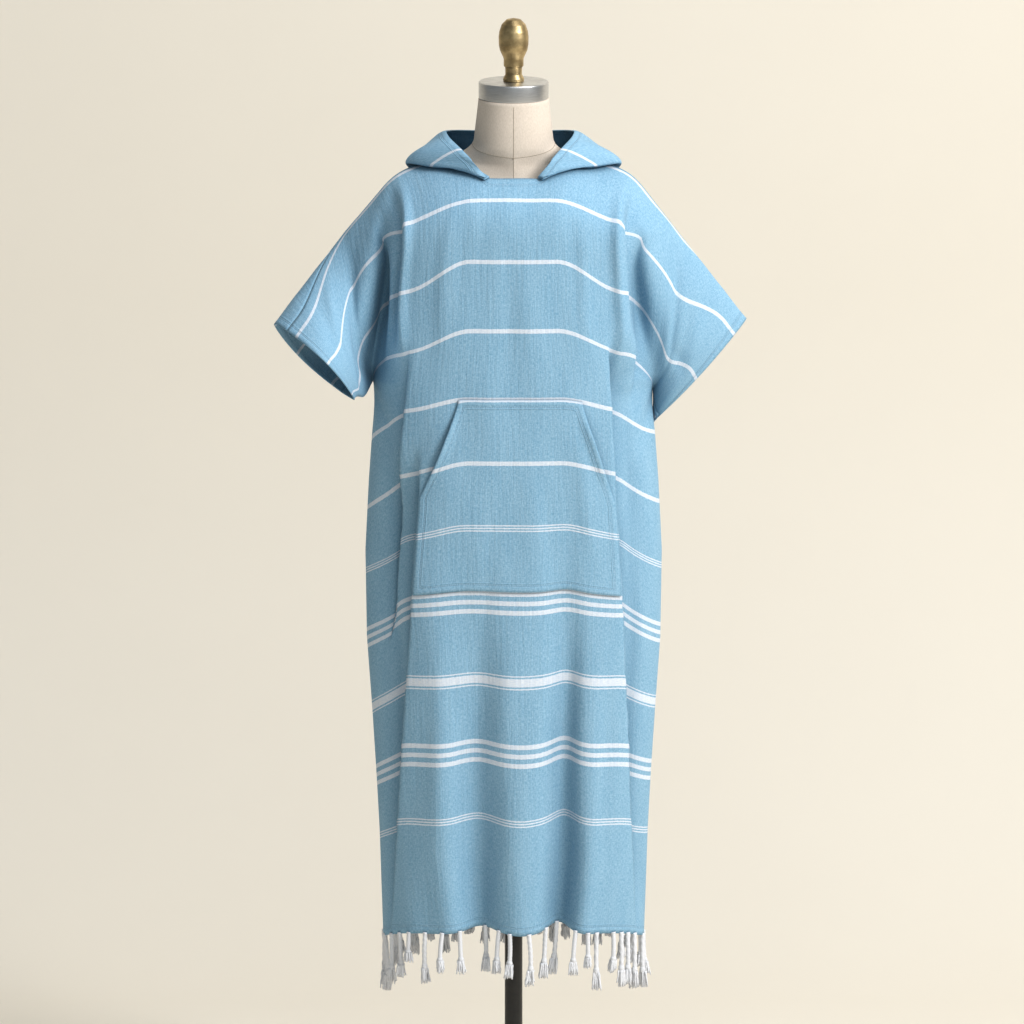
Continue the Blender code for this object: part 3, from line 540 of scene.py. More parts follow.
    def _ridge_points(self, u: Array) -> tuple[Array, Array]:
        """x and z of the shoulder line and sleeve top at u.

        Args:
            u: places across.

        Returns:
            x, then z.
        """
        across, right = np.abs(u), u >= 0
        x = np.where(right, np.interp(across, *self.ridges[Side.RIGHT][:2]),
                     -np.interp(across, *self.ridges[Side.LEFT][:2]))
        z = np.where(right, np.interp(across, *self.ridges[Side.RIGHT][::2]),
                     np.interp(across, *self.ridges[Side.LEFT][::2]))
        return x, z

    def _body(self, u: Array, s: Array) -> Array:
        """The cloth as it hangs round the body.

        Args:
            u: places across.
            s: signed cloth lengths.

        Returns:
            Points.
        """
        length, across = np.abs(s), np.abs(u)
        x, y = np.zeros_like(u), np.zeros_like(u)
        for (panel, side) in self.tables:
            here = (np.where(s > 0, 1, -1) == panel.value) & (np.where(u < 0, -1, 1) == side.value)
            found = self._look_up(panel, side, across[here], length[here])
            x[here], y[here] = side.value * found[..., 0], found[..., 1]
        ramp = smooth(length / self.shoulder_run)
        ridge_x, ridge_z = self._ridge_points(u)
        front = s > 0
        depth = np.where(front, *(self.body_depth(panel, length) for panel in Panel))
        spread = -depth + ramp * (y + depth)
        drop = self._level(length, "edge_drop") * rise(across, *self.edge_sinks)
        drop = drop + self._level(length, "side_drop") * rise(across, *self.side_sinks)
        sag = self.neck_sag * smooth(length / 0.05) * (1.0 - rise(length, 0.05, 0.12))
        sag = sag * (1.0 - smooth(across / 0.12)) * front
        falls = {panel: np.interp(length, hang[0], hang[2]) for panel, hang in self.hangs.items()}
        centre = np.where(front, 0.0, 1.0 - rise(across, *self.centre_ends))
        fall = falls[Panel.FRONT] + (falls[Panel.BACK] - falls[Panel.FRONT]) * centre
        z = ridge_z * (1.0 - ramp) + (self.ridge_height - drop) * ramp - fall - sag
        side_x = smooth(length / 0.15)
        x = ridge_x * (1.0 - side_x) + x * side_x
        for flute in FLUTES:
            grown = smooth((length - flute.start) / (self.cut.length - flute.start))
            hump = np.exp(-(((u - flute.u) / flute.width) ** 2)) * grown
            hump = hump * (np.where(front, 1, -1) == flute.panel.value)
            spread, z = spread + flute.depth * hump, z + flute.lift * hump
        return np.stack([x, np.where(front, 1, -1) * spread, z], axis=-1)

    def _sleeve(self, u: Array, s: Array, hang: SleeveHang) -> Array:
        """The cloth as it hangs in one sleeve: a flattened tube, swung in towards the body.

        Args:
            u: places across, on this side.
            s: signed cloth lengths.
            hang: how this sleeve hangs.

        Returns:
            Points.
        """
        side, across = hang.side.value, np.abs(u)
        ridge_x, ridge_z = self._ridge_points(u)
        armhole, half = self.cut.armhole, self.cut.sleeve_half
        roll = hang.roll * rise(across, self.sleeve_root, 0.13)
        angle = math.pi * (np.clip(s, -armhole, armhole) - roll) / armhole
        rounding = np.arccos(self.sleeve_edge)
        fall = (np.arccos(self.sleeve_edge * np.cos(angle)) - rounding) / (math.pi - 2 * rounding)
        at_root = 1.0 - rise(across, *self.root_ends)
        fall = fall * (hang.height + (hang.root_height - hang.height) * at_root)
        out = np.clip((across - self.swing_from) / (half - self.swing_from), 0.0, 1.05)
        swing = hang.swing * out ** self.swing_power
        forward = (np.clip(across - self.sleeve_root, 0.0, None)
                   * self.lead_gain * math.sin(hang.lead))
        depth = hang.depth * np.sin(angle)
        x = ridge_x - side * fall * np.sin(swing)
        shear = depth * math.sin(hang.lead) * (1.0 - at_root)
        x = x - side * math.cos(hang.slope) * shear
        z = ridge_z - fall * np.cos(swing) + math.sin(hang.slope) * shear
        return np.stack([x, -forward - depth, z], axis=-1)

    def bare(self, u: Array, s: Array) -> Array:
        """The cloth without its small creases.

        Args:
            u: places across, negative on the left.
            s: cloth lengths, negative on the back.

        Returns:
            Points, blended from body to sleeve across the armhole.
        """
        u, s = paired(u, s)
        across, length = np.abs(u), np.abs(s)
        out = rise(across, *self.arm_starts)
        down = rise(length, *self.arm_ends)
        weight = out * (1.0 - down * (1.0 - rise(across, self.cut.body_half, 0.07)))
        sleeved = np.where((u < 0)[..., None], self._sleeve(u, s, SLEEVES[Side.LEFT]),
                           self._sleeve(u, s, SLEEVES[Side.RIGHT]))
        blend = self._body(u, s) * (1.0 - weight[..., None]) + sleeved * weight[..., None]
        blend[..., 1] += self._valleys(u, s)
        return blend

    @staticmethod
    def _valleys(u: Array, s: Array) -> Array:
        """How far the valleys between body and sleeve are set in, along Y.

        Args:
            u: places across.
            s: signed cloth lengths.

        Returns:
            Distances along Y.
        """
        inward = np.zeros_like(u)
        for valley in VALLEYS:
            along = (s * valley.panel.value - valley.start) / (valley.end - valley.start)
            middle = valley.u_top + (valley.u_low - valley.u_top) * along
            grown = smooth(along / 0.35) * smooth((1.0 - along) / 0.35)
            hollow = np.exp(-(((u * valley.side.value - middle) / valley.width) ** 2))
            inward = inward + valley.panel.value * valley.depth * hollow * grown
        return inward

    def normals(self, u: Array, s: Array) -> Array:
        """Outward unit normals, from the slopes of the points along s and across u.

        Args:
            u: places across.
            s: signed cloth lengths.

        Returns:
            Unit vectors.
        """
        reach = 0.003
        along = self.bare(u, s + reach) - self.bare(u, s - reach)
        across = self.bare(u + reach, s) - self.bare(u - reach, s)
        return unit(np.cross(along, across))

    def creases(self, u: Array, s: Array) -> Array:
        """Height of the small creases: a soft ridge round each crease's line, fading at its ends.

        Args:
            u: places across.
            s: signed cloth lengths.

        Returns:
            Heights along the normal.
        """
        height = np.zeros_like(u)
        for c in CREASES:
            start, run = np.array([c.u0, c.s0]), np.array([c.u1 - c.u0, c.s1 - c.s0])
            size = np.hypot(*run)
            du, ds = u - start[0], np.abs(s) - start[1]
            along = (du * run[0] + ds * run[1]) / size ** 2
            bow = self.crease_bow * np.sin(along * math.pi) * np.sign(c.height)
            off = (du * run[1] - ds * run[0]) / size + bow
            fade = smooth(along / 0.35 + 0.1) * smooth((1.0 - along) / 0.45 + 0.1)
            here = np.where(s > 0, 1, -1) == c.panel.value
            height += c.height * np.exp(-((off / c.width) ** 2)) * fade * here
        ripple = np.sin(2 * math.pi * (u / self.slack_across + 0.35 * np.sin(7.0 * s) + 0.1))
        ripple = ripple * np.sin(2 * math.pi * (s / self.slack_along + 0.30 * np.sin(9.0 * u)))
        return height + self.slack * ripple

    def points(self, u: Array, s: Array, lift: Array | float = 0.0) -> Array:
        """The cloth with its creases, moved out by lift.

        Args:
            u: places across.
            s: signed cloth lengths.
            lift: distance out along the normal.

        Returns:
            Points of the outer face.
        """
        u, s = paired(u, s)
        height = self.creases(u, s) * self.ease(u, s) + lift
        return self.bare(u, s) + self.normals(u, s) * np.asarray(height)[..., None]

    def ease(self, u: Array, s: Array) -> Array:
        """How freely creases stand: not at seams, nor where the sleeve meets the side.

        Args:
            u: places across.
            s: signed cloth lengths.

        Returns:
            Shares from 0 to 1.
        """
        length, across = np.abs(s), np.abs(u)
        side = smooth((self.cut.body_half - across) / 0.02)
        under = smooth((self.cut.armhole - length) / 0.03)
        seams = np.where(length > self.cut.armhole, side, np.maximum(side, under))
        return seams * smooth(length / 0.02)

    def neckline(self, u: Array, panel: Panel) -> Array:
        """Cloth length from the shoulder to the neck's edge at u, 0 beyond the neck opening."""
        run = (np.abs(u) - self.cut.neck_flat) / (self.cut.neck_half - self.cut.neck_flat)
        return DRAPES[panel].neck_depth * (1.0 - smooth(run))


# ----------------------------------------------------------------------------------------- meshes


@dataclass
class Grid:
    """A grid of points with what the finishes read from it."""

    points: Array  # rows by columns by 3
    cloth: Array  # rows by columns by 2, the cloth measures u and s
    edge: Array  # rows by columns, the distance along the cloth to the nearest hem
    keep: Array | None = None  # which cells are filled
    flip: bool = False  # turn the faces over

    def faces(self) -> Array:
        """Four corners of each filled cell.

        Returns:
            Indices, cells by 4.
        """
        rows, columns = self.points.shape[:2]
        index = np.arange(rows * columns).reshape(rows, columns)
        quads = np.stack([index[:-1, :-1], index[1:, :-1], index[1:, 1:], index[:-1, 1:]], axis=-1)
        quads = quads.reshape(-1, 4) if self.keep is None else quads[self.keep]
        return quads[:, ::-1] if self.flip else quads


class MeshMaker:
    """Builds mesh objects at the world's origin from arrays."""

    @staticmethod
    def solid(name: str, points: Array, faces: Array) -> Obj:
        """A smooth-shaded mesh object of the points that its faces use.

        Args:
            name: the object's name.
            points: points by 3.
            faces: faces by 3 or 4 corner indices.

        Returns:
            The object, in the scene.
        """
        used, place = np.unique(faces, return_inverse=True)
        faces = place.reshape(faces.shape)
        points = points[used]
        mesh = bpy.data.meshes.new(name)
        mesh.vertices.add(len(points))
        mesh.vertices.foreach_set("co", points.astype(np.float32).ravel())
        mesh.loops.add(faces.size)
        mesh.loops.foreach_set("vertex_index", faces.astype(np.int32).ravel())
        mesh.polygons.add(len(faces))
        starts = np.arange(0, faces.size, faces.shape[1], dtype=np.int32)
        mesh.polygons.foreach_set("loop_start", starts)
        return MeshMaker.shown(name, mesh)

    @staticmethod
    def shown(name: str, mesh: bpy.types.Mesh) -> Obj:
        """Shade a new mesh smooth and put it in the scene.

        Args:
            name: its object's name.
            mesh: the mesh.

        Returns:
            The object.
        """
        mesh.polygons.foreach_set("use_smooth", np.full(len(mesh.polygons), True))
        mesh.update(calc_edges=True)
        obj = bpy.data.objects.new(name, mesh)
        bpy.context.collection.objects.link(obj)
        return obj

    @classmethod
    def cloth(cls, name: str, grid: Grid, wall: float) -> Obj:
        """A thin shell of cloth with its measures as a UV map named cloth and an attribute edge.

        Args:
            name: the object's name.
            grid: the outer face's points and measures.
            wall: thickness, built inwards.

        Returns:
            The object.
        """
        faces = grid.faces()
        used = np.unique(faces)
        obj = cls.solid(name, grid.points.reshape(-1, 3), faces)
        mesh = obj.data
        corners = np.empty(len(mesh.loops), dtype=np.int32)
        mesh.loops.foreach_get("vertex_index", corners)
        measures = grid.cloth.reshape(-1, 2)[used][corners]
        layer = mesh.uv_layers.new(name="cloth")
        layer.data.foreach_set("uv", measures.astype(np.float32).ravel())
        attribute = mesh.attributes.new("edge", "FLOAT", "POINT")
        attribute.data.foreach_set("value", grid.edge.reshape(-1)[used].astype(np.float32))
        shell = obj.modifiers.new("wall", "SOLIDIFY")
        shell.thickness = wall
        shell.offset = -1.0
        return obj


class Strand:
    """Points and faces of tubes, for threads, cords and tufts."""

    @staticmethod
    def tube(path: Array, radius: Array, sides: int,
             lobes: int = 0, twist: float = 0.0) -> Mesh:
        """A tube along a path; lobes and twist make it a twisted cord.

        Args:
            path: points by 3.
            radius: radius at each point.
            sides: corners of the section.
            lobes: how many plies bulge out of the section.
            twist: turns of the plies per metre of path.

        Returns:
            Points and quads. The ends are closed with a small fan onto their first point.
        """
        path = np.asarray(path, float)
        ahead = unit(np.gradient(path, axis=0))
        aside = unit(np.cross(ahead, np.array([0.03, 1.0, 0.02])))
        other = np.cross(ahead, aside)
        length = np.concatenate([[0.0], np.cumsum(np.linalg.norm(np.diff(path, axis=0), axis=1))])
        turn = np.linspace(0.0, 2 * math.pi, sides, endpoint=False)[None, :]
        swell = 1.0
        if lobes:
            turned = turn - 2 * math.pi * twist * length[:, None]
            swell = 0.72 + 0.28 * np.abs(np.cos(lobes * turned / 2))
        size = np.asarray(radius)[:, None] * swell
        ring = (path[:, None] + (size * np.cos(turn))[..., None] * aside[:, None]
                + (size * np.sin(turn))[..., None] * other[:, None])
        index, faces = rings(len(path), sides)
        low, high = (np.array([[end[0], *end[k:k + 3]] for k in range(1, sides - 2, 2)])
                     for end in (index[0], index[-1]))
        return ring.reshape(-1, 3), np.concatenate([faces, low[:, ::-1], high])

    @staticmethod
    def join(parts: Sequence[Mesh]) -> Mesh:
        """Several meshes as one.

        Args:
            parts: points and quads of each.

        Returns:
            All the points and quads.
        """
        offsets = np.concatenate([[0], np.cumsum([len(p) for p, _ in parts])])
        return (np.concatenate([p for p, _ in parts]),
                np.concatenate([f + o for (_, f), o in zip(parts, offsets)]))


# ---------------------------------------------------------------------------------------- finishes


class NodeTree:
    """Short ways to wire a material's nodes."""

    def __init__(self, name: str) -> None:
        """Start a material with one shader.

        Args:
            name: the material's name.
        """
        self.material = bpy.data.materials.new(name)
        self.material.use_nodes = True
        self.nodes = self.material.node_tree.nodes
        self.links = self.material.node_tree.links
        self.shader = self.nodes["Principled BSDF"]

    def add(self, kind: str, **settings: object) -> bpy.types.Node:
        """A node with its properties set.

        Args:
            kind: the node's type.
            **settings: properties to set on it.

        Returns:
            The node.
        """
        node = self.nodes.new(kind)
        for key, value in settings.items():
            setattr(node, key, value)
        return node

    def put(self, socket: Socket, value: object) -> None:
        """Link a socket into another, or set it to a constant.

        Args:
            socket: the input.
            value: an output socket, a number or a colour.
        """
        if isinstance(value, Socket):
            self.links.new(value, socket)
        else:
            socket.default_value = value

    def fill(self, node: bpy.types.Node, output: str, inputs: dict[str, object]) -> Socket:
        """Link or set several of a node's inputs.

        Args:
            node: the node.
            output: the name of its output.
            inputs: values by the input's name.

        Returns:
            That output.
        """
        for name, value in inputs.items():
            self.put(node.inputs[name], value)
        return node.outputs[output]

    def math(self, operation: str, *values: object, clamp: bool = False) -> Socket:
        """A Math node.

        Args:
            operation: its operation.
            *values: its inputs.
            clamp: keep the answer from 0 to 1.

        Returns:
            Its output.
        """
        node = self.add("ShaderNodeMath", operation=operation, use_clamp=clamp)
        for socket, value in zip(node.inputs, values):
            self.put(socket, value)
        return node.outputs[0]

    def times(self, one: object, two: object) -> Socket:
        """The product of two values."""
        return self.math("MULTIPLY", one, two)

    def plus(self, one: object, two: object) -> Socket:
        """The sum of two values."""
        return self.math("ADD", one, two)

    def minus(self, one: object, two: object) -> Socket:
        """One value less another."""
        return self.math("SUBTRACT", one, two)

    def off(self, one: object, two: object) -> Socket:
        """How far one value is from another."""
        return self.math("ABSOLUTE", self.minus(one, two))

    def step(self, value: object, low: float, high: float) -> Socket:
        """A smooth step of value from 0 at low to 1 at high, or falling if high is below low.

        Args:
            value: what it follows.
            low: where it is 0.
            high: where it is 1.

        Returns:
            Its output.
        """
        node = self.add("ShaderNodeMapRange", interpolation_type="SMOOTHSTEP")
        start, end = (0.0, 1.0) if low < high else (1.0, 0.0)
        return self.fill(node, "Result", {
            "Value": value, "From Min": min(low, high), "From Max": max(low, high),
            "To Min": start, "To Max": end})

    def noise(self, vector: object, scale: float, detail: float = 2.0,
              rough: float = 0.5) -> Socket:
        """Noise from 0 to 1 over a vector."""
        return self.fill(self.add("ShaderNodeTexNoise"), "Fac",
                         {"Vector": vector, "Scale": scale, "Detail": detail, "Roughness": rough})

    def mix(self, factor: object, one: object, two: object) -> Socket:
        """A colour between one and two.

        Args:
            factor: share of two.
            one: a colour.
            two: another.

        Returns:
            Its output.
        """
        node = self.add("ShaderNodeMix", data_type="RGBA")
        for number, value in ((0, factor), (6, one), (7, two)):
            self.put(node.inputs[number], value)
        return node.outputs[2]

    def stretch(self, vector: object, scale: Point) -> Socket:
        """A vector scaled along its axes."""
        mapping = self.add("ShaderNodeMapping")
        return self.fill(mapping, "Vector", {"Vector": vector, "Scale": scale})

    def axes(self, vector: object) -> bpy.types.bpy_prop_collection:
        """The X, Y and Z of a vector, by name."""
        node = self.add("ShaderNodeSeparateXYZ")
        self.put(node.inputs[0], vector)
        return node.outputs

    def bump(self, height: object, strength: float, distance: float,
             normal: Socket | None = None) -> Socket:
        """A bumped normal.

        Args:
            height: the relief.
            strength: its strength.
            distance: its depth.
            normal: a normal to start from.

        Returns:
            Its output.
        """
        inputs = {"Height": height, "Strength": strength, "Distance": distance}
        if normal is not None:
            inputs["Normal"] = normal
        return self.fill(self.add("ShaderNodeBump"), "Normal", inputs)


@dataclass(frozen=True)
class Stripe:
    """A woven white line across the cloth."""

    s: float  # cloth length of its middle
    width: float  # its width


def stripes_of(rows: Sequence[tuple[float, int, float, float]]) -> tuple[Stripe, ...]:
    """Lines of rows that give a band's middle, its lines, how far apart, and each one's width."""
    return tuple(Stripe(s + (k - (count - 1) / 2) * apart, width)
                 for s, count, apart, width in rows for k in range(count))


BODY_STRIPES = stripes_of((
    (0.008, 1, 0.0, 0.0058),
    (0.095, 1, 0.0, 0.0058),
    (0.190, 1, 0.0, 0.0058),
    (0.290, 1, 0.0, 0.0060),
    (0.389, 1, 0.0, 0.0060),
    (0.481, 1, 0.0, 0.0060),
    (0.575, 3, 0.0039, 0.0016),
    (0.684, 3, 0.0135, 0.0064),
    (0.798, 1, 0.0, 0.0115),
    (0.798, 2, 0.0185, 0.0016),
    (0.904, 3, 0.0135, 0.0064),
    (1.001, 3, 0.0039, 0.0016),
))

HOOD_STRIPES = stripes_of(tuple((place, 1, 0.0, 0.0058) for place in (0.100, 0.218, 0.313)))


@dataclass(frozen=True)
class Grain:
    """A noise over the cloth measures."""

    stretch: Point  # scale of each axis
    scale: float  # how fine it is
    detail: float
    rough: float


FLECKS = Grain((1.0, 0.30, 1.0), 760.0, 1.5, 0.6)  # short, along the warp
WEFT = Grain((0.22, 1.0, 1.0), 820.0, 1.0, 0.5)  # long, across
CLOUDS = Grain((1.0, 0.35, 1.0), 42.0, 3.0, 0.6)  # broad unevenness
CRINKLE = Grain((1.0, 0.085, 1.0), 210.0, 2.0, 0.55)  # small lengthwise folds


@dataclass(frozen=True)
class TowelFinish:
    """Flat-woven heathered cotton with white stripes."""

    name: str
    stripes: tuple[Stripe, ...]  # its woven lines
    middle: float = 0.0  # cloth length of the line that the stripes mirror about
    deep: Colour = (0.165, 0.355, 0.525, 1.0)  # the darker thread
    pale: Colour = (0.350, 0.560, 0.720, 1.0)  # the paler thread
    white: Colour = (0.80, 0.84, 0.90, 1.0)  # the stripes
    chalk: Colour = (0.66, 0.74, 0.86, 1.0)  # the same where blue threads cross them
    shade: Colour = (0.03, 0.10, 0.17, 1.0)  # painted shade, deep between folds
    thread: Colour = (0.42, 0.62, 0.80, 1.0)  # the hems' stitches
    hem: float = 0.013  # depth of the folded hems
    stitch_in: float = 0.0026  # the line of stitches, from the hem's fold
    stitch_pitch: float = 0.0036  # stitch to stitch
    fold_reach: float = 0.055  # how near cloth must stand for a fold's painted shade
    warp_share: float = 0.62  # share of the flecks in the heather
    weft_share: float = 0.38  # share of the weft
    cloud_share: float = 0.16  # what the clouds add

    def material(self) -> bpy.types.Material:
        """Build the material.

        Returns:
            A material that reads the UV map cloth and the attribute edge.
        """
        tree = NodeTree(self.name)
        cloth = tree.add("ShaderNodeUVMap", uv_map="cloth").outputs["UV"]
        place = tree.axes(cloth)
        flecks, weft, clouds, crinkle = (
            tree.noise(tree.stretch(cloth, grain.stretch), grain.scale, grain.detail, grain.rough)
            for grain in (FLECKS, WEFT, CLOUDS, CRINKLE))
        heather = tree.plus(tree.times(flecks, self.warp_share), tree.times(weft, self.weft_share))
        heather = tree.plus(heather, tree.times(tree.minus(clouds, 0.5), self.cloud_share))
        ground = tree.mix(tree.step(heather, 0.26, 0.74), self.deep, self.pale)
        mask = self._mask(tree, cloth, place)
        lines = tree.mix(tree.step(weft, 0.30, 0.70), self.chalk, self.white)
        colour = tree.mix(tree.times(mask, 0.95), ground, lines)
        colour, height = self._hems(tree, place, colour)
        rough = tree.plus(tree.times(heather, 0.35), self._weave(tree, place, mask))
        fine = tree.bump(rough, 0.55, 0.0005, tree.bump(crinkle, 0.42, 0.0022))
        tree.fill(tree.shader, "BSDF", {
            "Base Color": self._painted_fold_shade(tree, colour),
            "Roughness": 0.92, "Specular IOR Level": 0.22,
            "Sheen Weight": 0.10, "Sheen Roughness": 0.45, "Sheen Tint": (0.60, 0.80, 1.0, 1.0),
            "Normal": tree.bump(height, 0.9, 0.0012, fine)})
        return tree.material

    def _mask(self, tree: NodeTree, cloth: Socket, place: bpy.types.bpy_prop_collection) -> Socket:
        """1 on the stripes, whose edges wander a little.

        Args:
            tree: the material.
            cloth: the cloth measures.
            place: the same, by axis.

        Returns:
            Shares from 0 to 1.
        """
        length = tree.off(place["Y"], self.middle)
        wander = tree.times(tree.minus(tree.noise(cloth, 330.0, 1.0), 0.5), 0.0010)
        wandered = tree.plus(length, wander)
        mask: object = 0.0
        for stripe in self.stripes:
            off = tree.off(wandered, stripe.s - self.middle)
            line = tree.step(off, stripe.width / 2 + 0.0005, stripe.width / 2 - 0.0003)
            mask = tree.math("MAXIMUM", mask, line)
        return mask

    def _painted_fold_shade(self, tree: NodeTree, colour: Socket) -> Socket:
        """The colour with painted shade, deeper and bluer where folds stand close together.

        Args:
            tree: the material.
            colour: the colour in the open.

        Returns:
            The colour with its painted shade.
        """
        # painted shade: ambient occlusion mixes the colour towards the shade colour in folds and
        # hollows
        node = tree.add("ShaderNodeAmbientOcclusion", samples=6)
        hollow = tree.fill(node, "AO", {"Distance": self.fold_reach})
        open_share = tree.math("POWER", hollow, 1.5, clamp=True)
        return tree.mix(open_share, tree.mix(0.72, colour, self.shade), colour)

    @staticmethod
    def _weave(tree: NodeTree, place: bpy.types.bpy_prop_collection, mask: Socket) -> Socket:
        """Height of the crossing threads: two sets of sine ribs, the warp's the stronger.

        Args:
            tree: the material.
            place: the cloth measures, by axis.
            mask: 1 on the stripes.

        Returns:
            Its height.
        """
        warp, weft = (
            tree.times(tree.math("SINE", tree.times(place[axis], 2 * math.pi / pitch)), share)
            for axis, pitch, share in (("X", 0.0018, 0.25), ("Y", 0.0015, 0.175)))
        return tree.plus(tree.times(warp, weft), tree.times(mask, 0.25))

    def _hems(self, tree: NodeTree, place: bpy.types.bpy_prop_collection,
              colour: Socket) -> tuple[Socket, Socket]:
        """Colour and height of the folded hems with their stitches, by the distance to the edge.

        Args:
            tree: the material.
            place: the cloth measures, by axis.
            colour: the colour without hems.

        Returns:
            The colour with them and their painted shade, and their height.
        """
        edge = tree.add("ShaderNodeAttribute", attribute_name="edge").outputs["Fac"]
        fold = tree.step(edge, self.hem + 0.0012, self.hem)
        from_line = tree.off(edge, self.hem - self.stitch_in)
        turn = tree.times(tree.plus(place["X"], place["Y"]), 2 * math.pi / self.stitch_pitch)
        beat = tree.step(tree.math("SINE", turn), -0.6, 0.1)
        stitch = tree.times(tree.step(from_line, 0.0011, 0.0003), beat)
        sunk = tree.times(tree.step(from_line, 0.0032, 0.0004), -0.45)
        height = tree.plus(tree.plus(tree.times(fold, 0.55), sunk), tree.times(stitch, 0.5))
        # painted shade: darker towards the deep thread along the sunk stitch line and at the hem's
        # very edge
        for value, low, share in ((from_line, 0.0030, 0.15), (edge, 0.0020, 0.34)):
            colour = tree.mix(tree.times(tree.step(value, low, 0.0004), share), colour, self.deep)
        return tree.mix(tree.times(stitch, 0.35), colour, self.thread), height


@dataclass(frozen=True)
class PlainFinish:
    """A finish of one colour with fine noise."""

    name: str
    colour: Colour
    dark: Colour  # the colour it varies towards
    roughness: float
    metallic: float = 0.0  # 1 for bare metal
    grain: float = 300.0  # scale of its noise, per metre
    relief: float = 0.0002  # depth of its fine bump
    sheen: float = 0.0  # sheen of its fuzz
    stretch: Point = (1.0, 1.0, 1.0)  # stretch of the noise along x, y and z

    def material(self) -> bpy.types.Material:
        """Build the material.

        Returns:
            A material on Object coordinates.
        """
        tree = NodeTree(self.name)
        place = tree.add("ShaderNodeTexCoord").outputs["Object"]
        grain = tree.noise(tree.stretch(place, self.stretch), self.grain, 3.0, 0.6)
        tree.fill(tree.shader, "BSDF", {
            "Base Color": tree.mix(tree.step(grain, 0.3, 0.7), self.dark, self.colour),
            "Roughness": self.roughness, "Metallic": self.metallic, "Sheen Weight": self.sheen,
            "Normal": tree.bump(grain, 0.35, self.relief)})
        return tree.material


LINEN = PlainFinish("linen", (0.74, 0.64, 0.545, 1), (0.64, 0.55, 0.455, 1), 0.86, grain=900.0,
                    relief=0.0003, sheen=0.1, stretch=(1.0, 1.0, 0.35))
CORD = PlainFinish("cord", (0.88, 0.885, 0.91, 1), (0.76, 0.775, 0.82, 1), 0.9, grain=1400.0,
                   relief=0.0003, sheen=0.3)
STEEL = PlainFinish("brushed_steel", (0.66, 0.66, 0.66, 1), (0.52, 0.52, 0.52, 1), 0.34,
                    metallic=1.0, grain=160.0, relief=0.0001, stretch=(0.4, 0.4, 14.0))
BRASS = PlainFinish("brass", (0.58, 0.44, 0.23, 1), (0.30, 0.22, 0.11, 1), 0.42, metallic=1.0,
                    grain=60.0, relief=0.0001)
BLACK = PlainFinish("black_steel", (0.016, 0.015, 0.014, 1), (0.010, 0.010, 0.010, 1), 0.38,
                    metallic=0.2, grain=120.0, relief=0.0001)
SEAM = PlainFinish("seam", (0.40, 0.34, 0.26, 1), (0.30, 0.25, 0.19, 1), 0.9, grain=600.0)
FLOOR = PlainFinish("floor", (0.87, 0.81, 0.71, 1), (0.86, 0.80, 0.70, 1), 0.9, grain=2.0,
                    relief=0.0)


# ----------------------------------------------------------------------------------------- pieces


@dataclass
class Piece:
    """A piece of the object that stands for part of the frame."""

    name: str
    node: str  # the frame's node that it stands for
    slot: str  # the record's material slot
    finish: Callable[[], bpy.types.Material]  # builds its material

    def dress(self, obj: Obj, stands_for: bool = True) -> Obj:
        """Give an object its finish and its place in the frame.

        Args:
            obj: the object.
            stands_for: it takes the place of the node.

        Returns:
            The same object.
        """
        obj.data.materials.append(self.finish())
        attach(obj, "root")
        if stands_for:
            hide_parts(self.node)
        LOG.info("%s: %d faces", obj.name, len(obj.data.polygons))
        return obj


@dataclass
class PanelCloth(Piece):
    """Front or back of the garment, with half of each sleeve in one piece."""

    panel: Panel = Panel.FRONT
    garment: GarmentMap = field(default_factory=GarmentMap)  # the map from cloth to space
    column_size: float = 0.0048  # width of the grid's cells
    row_size: float = 0.0062  # their height
    turn: float = 0.016  # how far the left sleeve's stripes are turned round it
    turn_from: Run = (0.23, 0.15)  # where across they start to be
    neck_area: float = 0.007  # cut away at the neckline, square metres

    def build(self) -> Obj:
        """Build the shell: a grid of u by s, with the neck cut out and the sides open.

        Returns:
            The object.
        """
        cut, half = self.garment.cut, self.garment.cut.body_half
        body = np.linspace(-half, half, int(2 * half / self.column_size) + 1)
        beyond, below = cut.sleeve_half - half, cut.length - cut.armhole
        arm = np.linspace(half, cut.sleeve_half, int(beyond / self.column_size) + 1)[1:]
        columns = np.concatenate([-arm[::-1], body, arm])
        upper = np.linspace(0.0, cut.armhole, int(cut.armhole / self.row_size) + 1)
        lower = np.linspace(cut.armhole, cut.length, int(below / self.row_size) + 1)
        rows = np.concatenate([upper, lower[1:]])
        s, u = np.meshgrid(rows, columns, indexing="ij")
        keep = (s[:-1, :-1] < cut.armhole - 0.001) | (
            np.maximum(np.abs(u[:-1, :-1]), np.abs(u[:-1, 1:])) < half + 1e-4)
        neck = np.maximum(self.garment.neckline(u, self.panel), 0.0002)
        s = np.where(s < cut.armhole / 2, neck + s * (1.0 - neck / (cut.armhole / 2)), s)
        points = self.garment.points(u, s * self.panel.value)
        edges = np.minimum(cut.sleeve_half - np.abs(u), cut.length - s)
        at_neck = np.where(neck > 0.0003, s - neck, FAR)
        edge = np.minimum(np.minimum(edges, at_neck), FAR)
        turned = s * self.panel.value - self.turn * rise(-u, *self.turn_from)
        grid = Grid(points, np.stack([u, turned], axis=-1), edge, keep,
                    flip=self.panel is Panel.BACK)
        obj = self.dress(MeshMaker.cloth(self.name, grid, cut.wall))
        return obj


@dataclass(frozen=True)
class HoodSection:
    """One section of the hood as it lies behind the neck."""

    neck_u: float  # where it is sewn, across
    neck_s: float  # where it is sewn, along
    fold_u: float  # where its lower fold lies on the garment, across
    fold_s: float  # where that lies, along
    rim_x: float  # where its face edge stands, x
    rim_y: float  # the same, y
    rim_z: float  # the same, z
    puff: float  # how far it bulges


